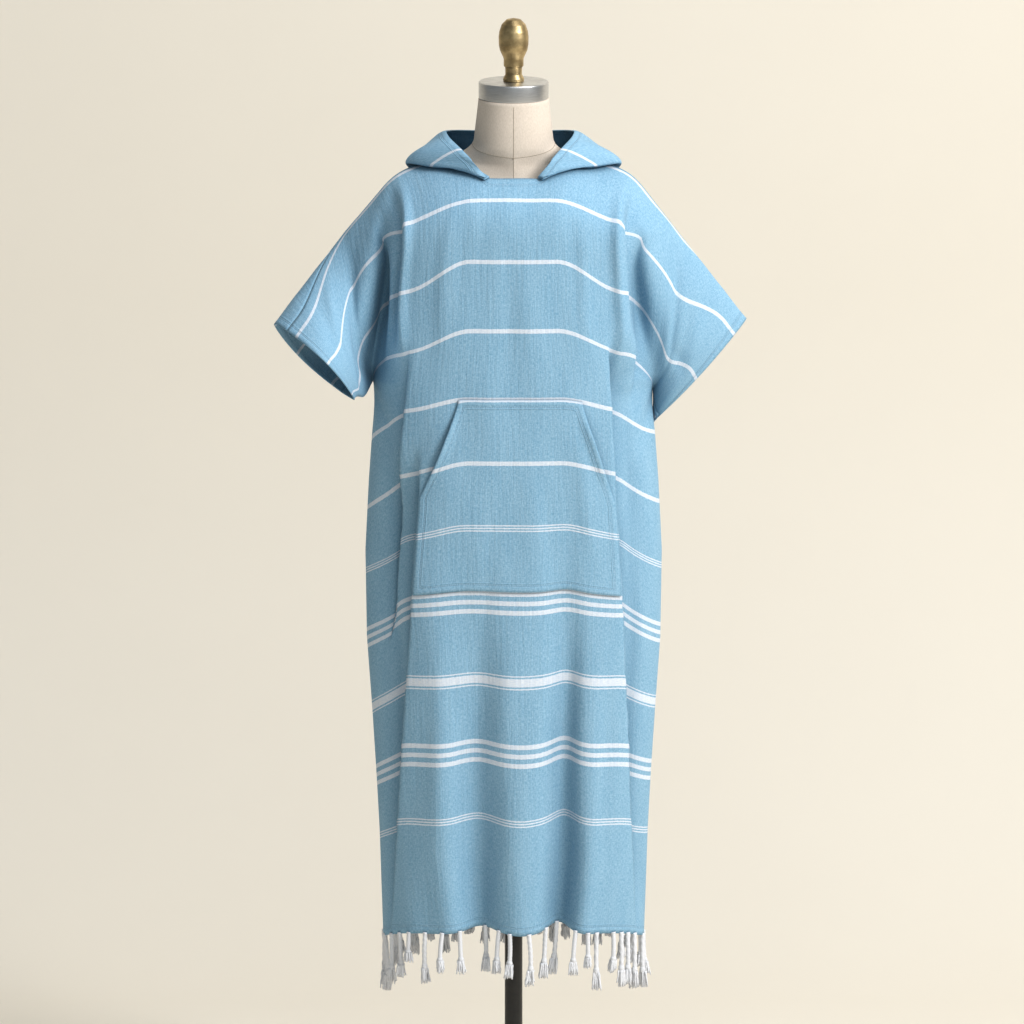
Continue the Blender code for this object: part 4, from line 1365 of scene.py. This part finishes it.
HOOD = tuple(HoodSection(*row) for row in (
    (0.0375, 0.0590, 0.046, 0.0645, 0.0385, -0.0670, 1.4152, 0.001),
    (0.0560, 0.0460, 0.082, 0.0470, 0.056, -0.066, 1.436, 0.004),
    (0.0770, 0.0250, 0.122, 0.0270, 0.074, -0.044, 1.451, 0.007),
    (0.0940, 0.0020, 0.156, 0.0000, 0.092, -0.012, 1.463, 0.010),
    (0.0860, -0.0160, 0.160, -0.0480, 0.097, 0.022, 1.467, 0.016),
    (0.0680, -0.0380, 0.142, -0.1150, 0.083, 0.056, 1.463, 0.026),
    (0.0460, -0.0520, 0.098, -0.1900, 0.055, 0.078, 1.459, 0.034),
    (0.0230, -0.0550, 0.046, -0.2350, 0.027, 0.088, 1.456, 0.038),
    (0.0000, -0.0550, 0.000, -0.2500, 0.000, 0.091, 1.455, 0.040),
))
RIM_SPREAD = {Side.LEFT: 1.0, Side.RIGHT: 0.90}


@dataclass
class HoodHalf(Piece):
    """One half of the hood: out over the garment from the neck seam, round, and back up."""

    side: Side = Side.LEFT
    garment: GarmentMap = field(default_factory=GarmentMap)  # the map that it lies on
    seated: float = 0.0016  # height of the wall's middle at the neck seam
    clear: float = 0.0060  # the same further out
    lies: float = 0.46  # share of its run that lies on the garment
    nudge: float = 0.004  # step in t and r to the points that give a normal
    wrinkle: float = 0.0016  # height of its wrinkles

    def _value(self, t: Array, column: str) -> Array:
        """One column of HOOD at t, with the corners at its rows smoothed.

        Args:
            t: places along the hood, from 0 to 1.
            column: the column's name.

        Returns:
            Its values.
        """
        places = np.linspace(0.0, 1.0, len(HOOD))
        values = np.array([getattr(row, column) for row in HOOD])
        fine = np.linspace(0.0, 1.0, 161)
        line = np.interp(fine, places, values)
        pad = np.concatenate([2 * line[0] - line[10:0:-1], line, 2 * line[-1] - line[-2:-12:-1]])
        kernel = np.hanning(21)
        soft = np.convolve(pad, kernel / kernel.sum(), mode="same")[10:-10]
        return np.interp(t, fine, soft)

    def _points(self, t: Array, r: Array) -> Array:
        """Middle of the wall: flat on the garment for a share, then a Bezier arch to the rim.

        Args:
            t: places along the hood, from 0 to 1.
            r: places from the neck seam to the rim, from 0 to 1.

        Returns:
            Points.
        """
        side = self.side.value
        over = np.clip(r / self.lies, 0.0, 1.0)
        neck_u, neck_s = self._value(t, "neck_u"), self._value(t, "neck_s")
        fold_u, fold_s = self._value(t, "fold_u"), self._value(t, "fold_s")
        u, s = side * (neck_u + (fold_u - neck_u) * over), neck_s + (fold_s - neck_s) * over
        reach = np.hypot(fold_u - neck_u, fold_s - neck_s)
        clear = self.seated + (self.clear - self.seated) * smooth(over * reach / 0.030)
        lower = self.garment.bare(u, s) + self.garment.normals(u, s) * clear[..., None]
        fold_normal = self.garment.normals(side * fold_u, fold_s)
        fold = self.garment.bare(side * fold_u, fold_s) + fold_normal * self.clear
        rim = np.stack([side * RIM_SPREAD[self.side] * self._value(t, "rim_x"),
                        self._value(t, "rim_y"), self._value(t, "rim_z")], axis=-1)
        outward = unit(fold - self.garment.bare(side * neck_u, neck_s))
        puff = self._value(t, "puff")[..., None]
        first = fold + outward * puff * 0.45 + fold_normal * puff
        second = rim + (outward * 0.5 + fold_normal * 0.6) * puff
        k = np.clip((r - self.lies) / (1.0 - self.lies), 0.0, 1.0)[..., None]
        upper = fold * (1 - k) ** 3 + first * 3 * k * (1 - k) ** 2
        upper = upper + second * 3 * k * k * (1 - k) + rim * k ** 3
        return np.where((r < self.lies)[..., None], lower, upper)

    def build(self) -> Obj:
        """Build the half hood.

        Returns:
            The object.
        """
        t = np.linspace(0.0, 1.0, 70)
        r = np.concatenate([np.linspace(0.0, self.lies, 16), np.linspace(self.lies, 1.0, 34)[1:]])
        t, r = np.meshgrid(t, r)
        middle = self._points(t, r)
        step = self.nudge
        along = self._points(t, np.clip(r + step, 0, 1)) - self._points(t, np.clip(r - step, 0, 1))
        back = self._points(np.clip(t + step, 0, 1), r) - self._points(np.clip(t - step, 0, 1), r)
        normal = unit(np.cross(along, back)) * self.side.value
        wrinkle = self.wrinkle * np.sin(t * 21.0 + r * 6.0)
        for share in ((r - 0.5) / 0.2, (1.0 - r) / 0.2, t / 0.15, (1.0 - t) / 0.1):
            wrinkle = wrinkle * smooth(share)
        seam = t > 0.999
        normal[..., 0] = np.where(seam, 0.0, normal[..., 0])
        normal = unit(normal)
        points = middle + normal * (self.garment.cut.wall / 2 + wrinkle)[..., None]
        points[..., 0] = np.where(seam, self.side.value * 0.0001, points[..., 0])
        steps = np.linalg.norm(np.diff(middle, axis=0), axis=-1)
        run = np.concatenate([np.zeros((1, t.shape[1])), np.cumsum(steps, axis=0)])
        edge = np.minimum(run[-1:] - run, FAR)
        cloth = np.stack([run * self.side.value, t * 0.40], axis=-1)
        grid = Grid(points, cloth, edge, flip=self.side is Side.LEFT)
        obj = self.dress(MeshMaker.cloth(self.name, grid, self.garment.cut.wall))
        down, along = middle[1:, :-1] - middle[:-1, :-1], middle[:-1, 1:] - middle[:-1, :-1]
        return obj


@dataclass(frozen=True)
class PocketRow:
    """Half width of the pocket at a level of the cloth."""

    s: float  # cloth length
    half_width: float  # half width there


POCKET = tuple(PocketRow(*row) for row in (
    (0.389, 0.094), (0.420, 0.104), (0.450, 0.116), (0.481, 0.127), (0.512, 0.141), (0.540, 0.150),
    (0.585, 0.153), (0.628, 0.154), (0.668, 0.154),
))


@dataclass
class KangarooPocket(Piece):
    """The front pocket: the front panel's own points, moved out."""

    garment: GarmentMap = field(default_factory=GarmentMap)  # the map that it lies on
    centre: float = 0.009  # place across of its middle
    lift: float = 0.0020  # how far its outer face is moved out
    wall: float = 0.0012  # thickness of its cloth
    lines: int = 58  # of its grid, along
    columns: int = 66  # of its grid, across
    widest: float = 0.17  # furthest place across that it may reach
    fold_gap: float = 0.003  # kept from the long folds
    gape: float = 0.0062  # how far its hand openings stand off
    gape_across: Run = (0.84, 0.16)  # where they start to, as a share of the half width
    gape_top: Run = (0.392, 0.05)  # the same along
    gape_foot: Run = (0.512, 0.05)  # where they end
    slip: float = 0.004  # how far the stripes of its left side are set off

    def build(self) -> Obj:
        """Build the pocket.

        Returns:
            The object.
        """
        rows = np.linspace(POCKET[0].s, POCKET[-1].s, self.lines)
        half = np.interp(rows, [row.s for row in POCKET], [row.half_width for row in POCKET])
        kernel = np.hanning(9)
        half = np.convolve(np.pad(half, 4, mode="edge"), kernel / kernel.sum(), mode="valid")
        limits = []
        for side in (Side.LEFT, Side.RIGHT):
            fold = self.garment.fold_start(Panel.FRONT, side, rows, self.widest)
            limits.append(np.minimum(half + side.value * self.centre, fold - self.fold_gap))
        across = np.linspace(-1.0, 1.0, self.columns)
        left, right = (limit[:, None] for limit in limits)
        u = across[None] * np.where(across[None] < 0, left, right)
        s = np.repeat(rows[:, None], len(across), axis=1)
        foot, run = self.gape_foot
        gape = self.gape * rise(np.abs(across)[None], *self.gape_across) * smooth((foot - s) / run)
        gape = gape * rise(s, *self.gape_top)
        points = self.garment.points(u, s, lift=self.lift + gape)
        edge = np.minimum(np.minimum(s - rows[0], rows[-1] - s),
                          np.where(u < 0, left + u, right - u))
        slip = -self.slip * rise(-u, 0.06, 0.06)
        grid = Grid(points, np.stack([u, s + slip], axis=-1), np.clip(edge, 0.0, FAR))
        obj = self.dress(MeshMaker.cloth(self.name, grid, self.wall))
        return obj


@dataclass(frozen=True)
class Tassel:
    """One knotted tassel."""

    u: float  # place across the hem
    length: float  # its length
    lean: float  # how far its foot leans to the right


FRONT_TASSELS = tuple(Tassel(*row) for row in (
    (-0.291, 0.084, 0.003), (-0.241, 0.074, 0.000), (-0.217, 0.066, 0.002), (-0.193, 0.044, -0.001),
    (-0.160, 0.076, 0.001), (-0.128, 0.059, -0.003), (-0.096, 0.063, 0.003), (-0.051, 0.069, 0.000),
    (-0.026, 0.064, -0.003), (-0.007, 0.066, -0.003), (0.027, 0.076, 0.001), (0.058, 0.075, -0.004),
    (0.077, 0.079, -0.007), (0.111, 0.066, -0.004), (0.133, 0.052, 0.000), (0.150, 0.085, 0.000),
    (0.182, 0.059, -0.002), (0.199, 0.080, -0.001), (0.216, 0.077, -0.001), (0.238, 0.082, -0.001),
    (0.289, 0.080, 0.001),
))
ROW_SEED = 17  # for the back hem's row
STRAND_SEEDS = {Panel.FRONT: 31, Panel.BACK: 37}  # for cords and tufts


@dataclass
class Fringe(Piece):
    """The knotted fringe of one hem: twisted cords, knots and frayed tufts."""

    panel: Panel = Panel.FRONT
    garment: GarmentMap = field(default_factory=GarmentMap)  # the map that it hangs from
    back_count: int = 24  # tassels on the back hem, less those that a fold would press together
    clear: float = 0.0135  # least distance between two feet
    cord: float = 0.0035  # radius of a cord
    knot: float = 0.66  # share of the length down to the knot
    knot_half: float = 0.055  # share of half a knot
    bow: float = 0.0025  # most that a cord bows out
    strands: int = 38  # loose ends of a tuft
    spread: float = 0.0030  # how widely they spread
    spread_limit: float = 0.0056  # and the most of it
    inset: float = 0.012  # from a side seam to the back hem's nearest tassel
    back_lengths: tuple[float, float] = (0.055, 0.088)  # least and most on the back hem
    back_lean: float = 0.007  # the most there

    def tassels(self) -> list[Tassel]:
        """The hem's tassels, without any that would touch the one before.

        Returns:
            Rows, left to right.
        """
        kept: list[Tassel] = []
        feet: list[Array] = []
        for row in FRONT_TASSELS if self.panel is Panel.FRONT else self.uneven():
            place = self.garment.bare(row.u, self.panel.value * self.garment.cut.length)
            foot = place[..., :2].reshape(2) + np.array([row.lean, 0.0])
            if all(np.hypot(*(foot - other)) > self.clear for other in feet):
                feet.append(foot)
                kept.append(row)
        return kept

    def uneven(self) -> list[Tassel]:
        """A row from side seam to side seam, none quite like the next.

        Returns:
            Rows, left to right.
        """
        rng = np.random.default_rng(ROW_SEED)
        half, count = self.garment.cut.body_half, self.back_count
        spacing = 2.0 * (half - self.inset) / (count - 1)
        places = -half + self.inset + np.arange(count) * spacing
        places = places + rng.uniform(-0.3, 0.3, count) * (spacing - 0.006)
        lengths = rng.uniform(*self.back_lengths, count)
        leans = rng.uniform(-self.back_lean, self.back_lean, count)
        return [Tassel(*row) for row in zip(places, lengths, leans)]

    def build(self) -> Obj:
        """Build every tassel as one mesh.

        Returns:
            The object.
        """
        rng = np.random.default_rng(STRAND_SEEDS[self.panel])
        parts: list[Mesh] = []
        for row in self.tassels():
            s = self.panel.value * (self.garment.cut.length - 0.002)
            top = self.garment.points(np.array([row.u]), np.array([s]), lift=-0.0008)[0]
            parts.extend(self._tassel(top, row, rng))
        points, faces = Strand.join(parts)
        return self.dress(MeshMaker.solid(self.name, points, faces))

    def _tassel(self, top: Array, row: Tassel, rng: np.random.Generator) -> list[Mesh]:
        """A twisted cord down to its knot, the knot, and loose strands below it.

        Args:
            top: where it leaves the hem.
            row: its row.
            rng: random numbers.

        Returns:
            Its meshes.
        """
        bow, knot = rng.uniform(-self.bow, self.bow, 2), self.knot

        def centre(k: Array) -> Array:
            """The tassel's middle line at a share k of its length."""
            k = np.asarray(k, float)[..., None]
            drift = np.array([row.lean, 0.0, -row.length])
            side = np.array([bow[0], bow[1], 0.0]) * np.sin(math.pi * k)
            return top + drift * k + side

        k = np.linspace(0.0, knot, 30)
        radius = self.cord * (1.0 + 0.15 * smooth((0.06 - k) / 0.06))
        parts = [Strand.tube(centre(k), radius, 12, lobes=3, twist=150.0)]
        k = np.linspace(knot - self.knot_half, knot + self.knot_half, 9)
        bulge = 0.0034 + 0.0016 * np.sin(np.linspace(0.15, math.pi - 0.15, 9))
        parts.append(Strand.tube(centre(k), bulge, 10, lobes=4, twist=-90.0))
        for _ in range(self.strands):
            ends = rng.normal(0.0, self.spread, 2)
            ends = np.clip(ends, -self.spread_limit, self.spread_limit)
            reach = rng.uniform(0.90, 1.0)
            k = np.linspace(knot + 0.03, reach, 6)
            path = centre(k)
            fan = smooth((k - knot) / (1.0 - knot)) * 0.45 + 0.72
            path[:, :2] += fan[:, None] * ends
            path[:, :2] += rng.normal(0.0, 0.0004, (6, 2))
            parts.append(Strand.tube(path, np.linspace(0.0014, 0.0008, 6), 4))
        return parts


@dataclass(frozen=True)
class Ring:
    """A level ring of the dress form."""

    z: float  # height
    half_width: float  # half width
    half_depth: float  # half depth
    y: float  # place of its middle
    power: float  # power of its superellipse


FORM_BOTTOM, FORM_TOP = 0.80, 1.5137
CAP_TOP = 1.543
RINGS = tuple(Ring(*row) for row in (
    (0.800, 0.128, 0.086, 0.004, 2.2), (0.812, 0.140, 0.096, 0.004, 2.2),
    (0.900, 0.145, 0.098, 0.004, 2.2), (0.980, 0.130, 0.088, 0.002, 2.2),
    (1.060, 0.118, 0.080, 0.000, 2.2), (1.150, 0.128, 0.086, 0.000, 2.2),
    (1.250, 0.140, 0.090, 0.000, 2.3), (1.330, 0.152, 0.084, 0.004, 2.3),
    (1.375, 0.164, 0.072, 0.004, 2.0), (1.398, 0.164, 0.058, 0.002, 1.6),
    (1.414, 0.142, 0.050, 0.000, 1.25), (1.4285, 0.099, 0.049, 0.000, 1.15),
    (1.4405, 0.0742, 0.0508, 0.000, 1.5), (1.452, 0.0575, 0.0530, 0.000, 2.0),
    (1.480, 0.0545, 0.0530, 0.000, 2.0), (1.5187, 0.0500, 0.0500, 0.000, 2.0),
))


@dataclass
class DressForm(Piece):
    """The linen-covered torso and neck, with the seams of its cover."""

    sides: int = 96  # corners of each ring
    seam_foot: float = 1.36  # of the front seam, out of sight
    seam_knot: float = 1.4395  # height of its thread's knot
    seam_top: float = 1.5130
    proud: float = 0.0001  # how far the seams stand out
    neck_seam: float = 1.4535  # height of the seam round the neck, at its sides
    neck_dip: float = 0.0135  # how much lower it is in front
    neck_lift: float = 0.004  # how much higher it is behind

    def at(self, z: Array, turn: Array, out: float = 0.0) -> Array:
        """Points of the form's skin: superellipse rings, in proportion between the table's rows.

        Args:
            z: heights.
            turn: angles round the form, 0 at +X, radians.
            out: distance beyond the skin.

        Returns:
            Points.
        """
        heights = [ring.z for ring in RINGS]
        near = np.linspace(-0.009, 0.009, 7)
        around = np.clip(np.asarray(z)[..., None] + near, heights[0], heights[-1])
        weight = np.hanning(9)[1:-1] / np.hanning(9).sum()
        width, depth, y, power = (
            np.interp(around, heights, [getattr(ring, name) for ring in RINGS]) @ weight
            for name in ("half_width", "half_depth", "y", "power"))
        c, s = np.cos(turn), np.sin(turn)
        px = (width + out) * np.sign(c) * np.abs(c) ** (2 / power)
        py = y + (depth + out) * np.sign(s) * np.abs(s) ** (2 / power)
        return np.stack([px, py, z + 0 * turn], axis=-1)

    def build(self) -> Obj:
        """Build the torso.

        Returns:
            The object.
        """
        levels = np.linspace(FORM_BOTTOM, FORM_TOP, 130)
        z = np.unique(np.concatenate([levels, [ring.z for ring in RINGS]]))
        turn = np.linspace(0.0, 2 * math.pi, self.sides + 1)[:-1]
        skin = self.at(*np.meshgrid(z, turn, indexing="ij")).reshape(-1, 3)
        index, quads = rings(len(z), self.sides)
        low, high = len(skin), len(skin) + 1
        corners = quads.tolist()
        for ring, backwards in ((index[0], True), (index[-1], False)):
            for a, b in zip(ring.tolist(), np.roll(ring, -1).tolist()):
                corners.append((a, low, b) if backwards else (high, a, b))
        centres = [[0.0, 0.004, FORM_BOTTOM], [0.0, 0.0, FORM_TOP]]
        mesh = bpy.data.meshes.new(self.name)
        mesh.from_pydata(np.concatenate([skin, centres]).tolist(), [], corners)
        return self.dress(MeshMaker.shown(self.name, mesh))

    def seams(self) -> Obj:
        """Build the cover's seams: down the centre front and round the base of the neck.

        Returns:
            The object.
        """
        z = np.linspace(self.seam_top, self.seam_foot, 60)
        front = self.at(z, np.full_like(z, -math.pi / 2), out=self.proud)
        turn = np.linspace(0.0, 2 * math.pi, self.sides + 1)
        dip = self.neck_dip * np.clip(-np.sin(turn), 0.0, 1.0) ** 1.5
        level = self.neck_seam - dip + self.neck_lift * np.clip(np.sin(turn), 0, 1)
        round_neck = self.at(level, turn, out=self.proud)
        knot = front[np.argmin(np.abs(z - self.seam_knot))]
        parts = [Strand.tube(front, np.full(len(front), 0.00035), 6),
                 Strand.tube(round_neck, np.full(len(round_neck), 0.0004), 6),
                 Strand.tube(knot + np.linspace(0, 1, 4)[:, None] * (0.0, -0.0006, -0.0022),
                             np.array([0.0006, 0.0011, 0.0011, 0.0005]), 8)]
        points, faces = Strand.join(parts)
        seam = Piece("form_seams", self.node, self.slot, SEAM.material)
        return seam.dress(MeshMaker.solid("form_seams", points, faces), stands_for=False)


@dataclass
class Turned(Piece):
    """A solid of revolution about Z."""

    # (radius, z) pairs from the axis up and back to it
    profile: tuple[tuple[float, float], ...] = ()
    sides: int = 72  # how many sides
    corner: float = 0.0008  # cut off each side of a corner

    def build(self) -> Obj:
        """Build the turning, with its profile's corners softened.

        Returns:
            The object.
        """
        radius, z = self._softened()
        turn = np.linspace(0.0, 2 * math.pi, self.sides, endpoint=False)
        points = np.stack([radius[:, None] * np.cos(turn), radius[:, None] * np.sin(turn),
                           np.repeat(z[:, None], self.sides, axis=1)], axis=-1).reshape(-1, 3)
        return self.dress(MeshMaker.solid(self.name, points, rings(len(radius), self.sides)[1]))

    def _softened(self) -> tuple[Array, Array]:
        """The profile with each corner cut short twice, so that edges catch light.

        Returns:
            Radii, then heights.
        """
        path = np.array(self.profile, float)
        path[[0, -1], 0] = 1e-5
        out = [path[0]]
        for before, here, after in zip(path, path[1:], path[2:]):
            one, two = before - here, after - here
            size = min(self.corner, np.linalg.norm(one) * 0.3, np.linalg.norm(two) * 0.3)
            a = here + one / np.linalg.norm(one) * size
            b = here + two / np.linalg.norm(two) * size
            out += [a, a * 0.25 + here * 0.5 + b * 0.25, b]
        out.append(path[-1])
        path = np.array(out)
        return path[:, 0], path[:, 1]


KNOB = (  # radius, height over the neck cap
    (0.0, 0.0), (0.0150, 0.0), (0.0150, 0.004), (0.0118, 0.010), (0.0122, 0.020), (0.0142, 0.022),
    (0.0142, 0.032), (0.0148, 0.034), (0.0198, 0.045), (0.0212, 0.053), (0.0214, 0.064),
    (0.0205, 0.072), (0.0170, 0.082), (0.0100, 0.089), (0.0, 0.091),
)


class Stand:
    """Neck cap, finial, pole and base."""

    def build(self) -> list[Obj]:
        """Build the four turnings.

        Returns:
            The objects.
        """
        low, seam = CAP_TOP - 0.024, 0.0003
        knob = tuple((radius, CAP_TOP + seam + height) for radius, height in KNOB)
        pole_low, pole_high, base = 0.0143, FORM_BOTTOM - seam, 0.014
        pieces = (
            Turned("cap", "neck_cap", "brushed_steel", STEEL.material,
                   ((0.0, low), (0.0492, low), (0.0500, low + 0.001), (0.0500, CAP_TOP - 0.0015),
                    (0.0487, CAP_TOP), (0.0, CAP_TOP)), 96),
            Turned("knob", "finial", "brass", BRASS.material, knob, 64),
            Turned("tube", "pole", "black_steel", BLACK.material,
                   ((0.0, pole_low), (0.0127, pole_low), (0.0127, pole_high), (0.0, pole_high)),
                   48),
            Turned("foot", "stand_base", "black_steel", BLACK.material,
                   ((0.0, 0.0), (0.187, 0.0), (0.190, 0.003), (0.190, base - 0.003), (0.187, base),
                    (0.0, base)), 128),
        )
        return [piece.build() for piece in pieces]


# ----------------------------------------------------------------------------------------- studio


@dataclass(frozen=True)
class Lamp:
    """A square soft light."""

    name: str
    place: Point
    at: Point  # what it faces
    size: float  # its side
    power: float  # watts
    colour: tuple[float, float, float]


LAMPS = (
    Lamp("key", (3.3, -2.6, 3.9), (0.0, 0.0, 1.2), 1.9, 236.0, (1.0, 0.995, 0.985)),
    Lamp("fill", (0.5, -4.4, 3.4), (0.0, 0.0, 1.2), 2.4, 27.0, (0.88, 0.96, 1.0)),
    Lamp("top", (0.9, -0.4, 4.2), (0.0, 0.0, 1.0), 1.8, 32.0, (1.0, 1.0, 1.0)),
)


@dataclass
class Studio:
    """Pale floor and backdrop, soft lights and the camera."""

    distance: float = 40.675  # camera to the aim point
    aim: tuple[float, float, float] = (-0.0023, 0.0, 0.9191)  # the point in the picture's middle
    elevation: float = math.radians(10)  # camera's height angle, radians
    lens: float = 1000.0  # focal length on a 36 mm sensor

    def build(self) -> None:
        """Build the room, the lights and the camera."""
        self._room()
        for lamp in LAMPS:
            data = bpy.data.lights.new(lamp.name, "AREA")
            data.shape, data.size = "SQUARE", lamp.size
            data.energy, data.color = lamp.power, lamp.colour
            self._place(lamp.name, data, np.array(lamp.place), np.array(lamp.at))
        scene = bpy.context.scene
        scene.world = scene.world or bpy.data.worlds.new("studio")
        scene.world.use_nodes = True
        sky = scene.world.node_tree.nodes["Background"].inputs
        sky["Color"].default_value, sky["Strength"].default_value = (0.88, 0.955, 1.0, 1.0), 0.235
        self._camera()
        view = scene.view_settings
        view.view_transform, view.look, view.exposure = "Standard", "None", 0.0

    def _room(self) -> None:
        """A floor that curves up into a backdrop, all round the far side."""
        reach, back, bend, height = 9.0, 1.1, 0.9, 7.0
        arc = np.linspace(0.0, math.pi / 2, 14)
        y = np.concatenate([[-reach, back], back + bend * np.sin(arc), [back + bend]])
        z = np.concatenate([[0.0, 0.0], bend - bend * np.cos(arc), [height]])
        x = np.linspace(-reach, reach, 7)
        points = np.stack(np.broadcast_arrays(x[None], y[:, None], z[:, None]), axis=-1)
        grid = Grid(points, points[..., :2], points[..., 0] * 0.0)
        room = MeshMaker.solid("floor", points.reshape(-1, 3), grid.faces()[:, ::-1])
        room.data.materials.append(self._one_sided(FLOOR.material()))

    @staticmethod
    def _one_sided(material: bpy.types.Material) -> bpy.types.Material:
        """The backdrop's finish, clear from behind, so that the object can be seen past it.

        Args:
            material: the finish.

        Returns:
            The same material.
        """
        nodes, links = material.node_tree.nodes, material.node_tree.links
        mixer = nodes.new("ShaderNodeMixShader")
        links.new(nodes.new("ShaderNodeNewGeometry").outputs["Backfacing"], mixer.inputs[0])
        links.new(nodes["Principled BSDF"].outputs[0], mixer.inputs[1])
        links.new(nodes.new("ShaderNodeBsdfTransparent").outputs[0], mixer.inputs[2])
        links.new(mixer.outputs[0], nodes["Material Output"].inputs["Surface"])
        return material

    @staticmethod
    def _place(name: str, data: bpy.types.ID, place: Array, at: Array) -> Obj:
        """Put a light or camera into the scene, with its -Z towards a point.

        Args:
            name: its object's name.
            data: the light or camera.
            place: where it stands.
            at: what it faces.

        Returns:
            Its object.
        """
        obj = bpy.data.objects.new(name, data)
        obj.location = place
        obj.rotation_euler = Vector(at - place).to_track_quat("-Z", "Y").to_euler()
        bpy.context.collection.objects.link(obj)
        return obj

    def _camera(self) -> None:
        """The camera in front, a little above, with a long lens."""
        data = bpy.data.cameras.new("camera")
        data.lens, data.sensor_width = self.lens, 36.0
        data.clip_end = 90.0
        aim = np.array(self.aim)
        back = np.array([0.0, -math.cos(self.elevation), math.sin(self.elevation)])
        bpy.context.scene.camera = self._place("camera", data, aim + back * self.distance, aim)


# ------------------------------------------------------------------------------------------- main


def main() -> None:
    """Load the frame, build each piece in order and finish."""
    logging.basicConfig(level=logging.INFO, format="%(name)s %(message)s")
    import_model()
    garment = GarmentMap()
    towel = TowelFinish("towel", BODY_STRIPES, middle=BODY_STRIPES[0].s).material
    hooded = TowelFinish("towel_hood", HOOD_STRIPES).material
    PanelCloth("front_cloth", "front_panel", "towel_blue", towel, Panel.FRONT, garment).build()
    PanelCloth("back_cloth", "back_panel", "towel_blue", towel, Panel.BACK, garment).build()
    HoodHalf("hood_left_cloth", "hood_left", "towel_blue", hooded, Side.LEFT, garment).build()
    HoodHalf("hood_right_cloth", "hood_right", "towel_blue", hooded, Side.RIGHT, garment).build()
    KangarooPocket("pocket_cloth", "kangaroo_pocket", "towel_blue", towel, garment).build()
    for name, panel in (("front", Panel.FRONT), ("back", Panel.BACK)):
        Fringe("fringe_" + name + "_cords", "fringe_" + name, "fringe_white", CORD.material,
               panel, garment).build()
    form = DressForm("torso", "form_body", "linen", LINEN.material)
    form.build()
    form.seams()
    Stand().build()
    Studio().build()


if __name__ == "__main__":
    main()
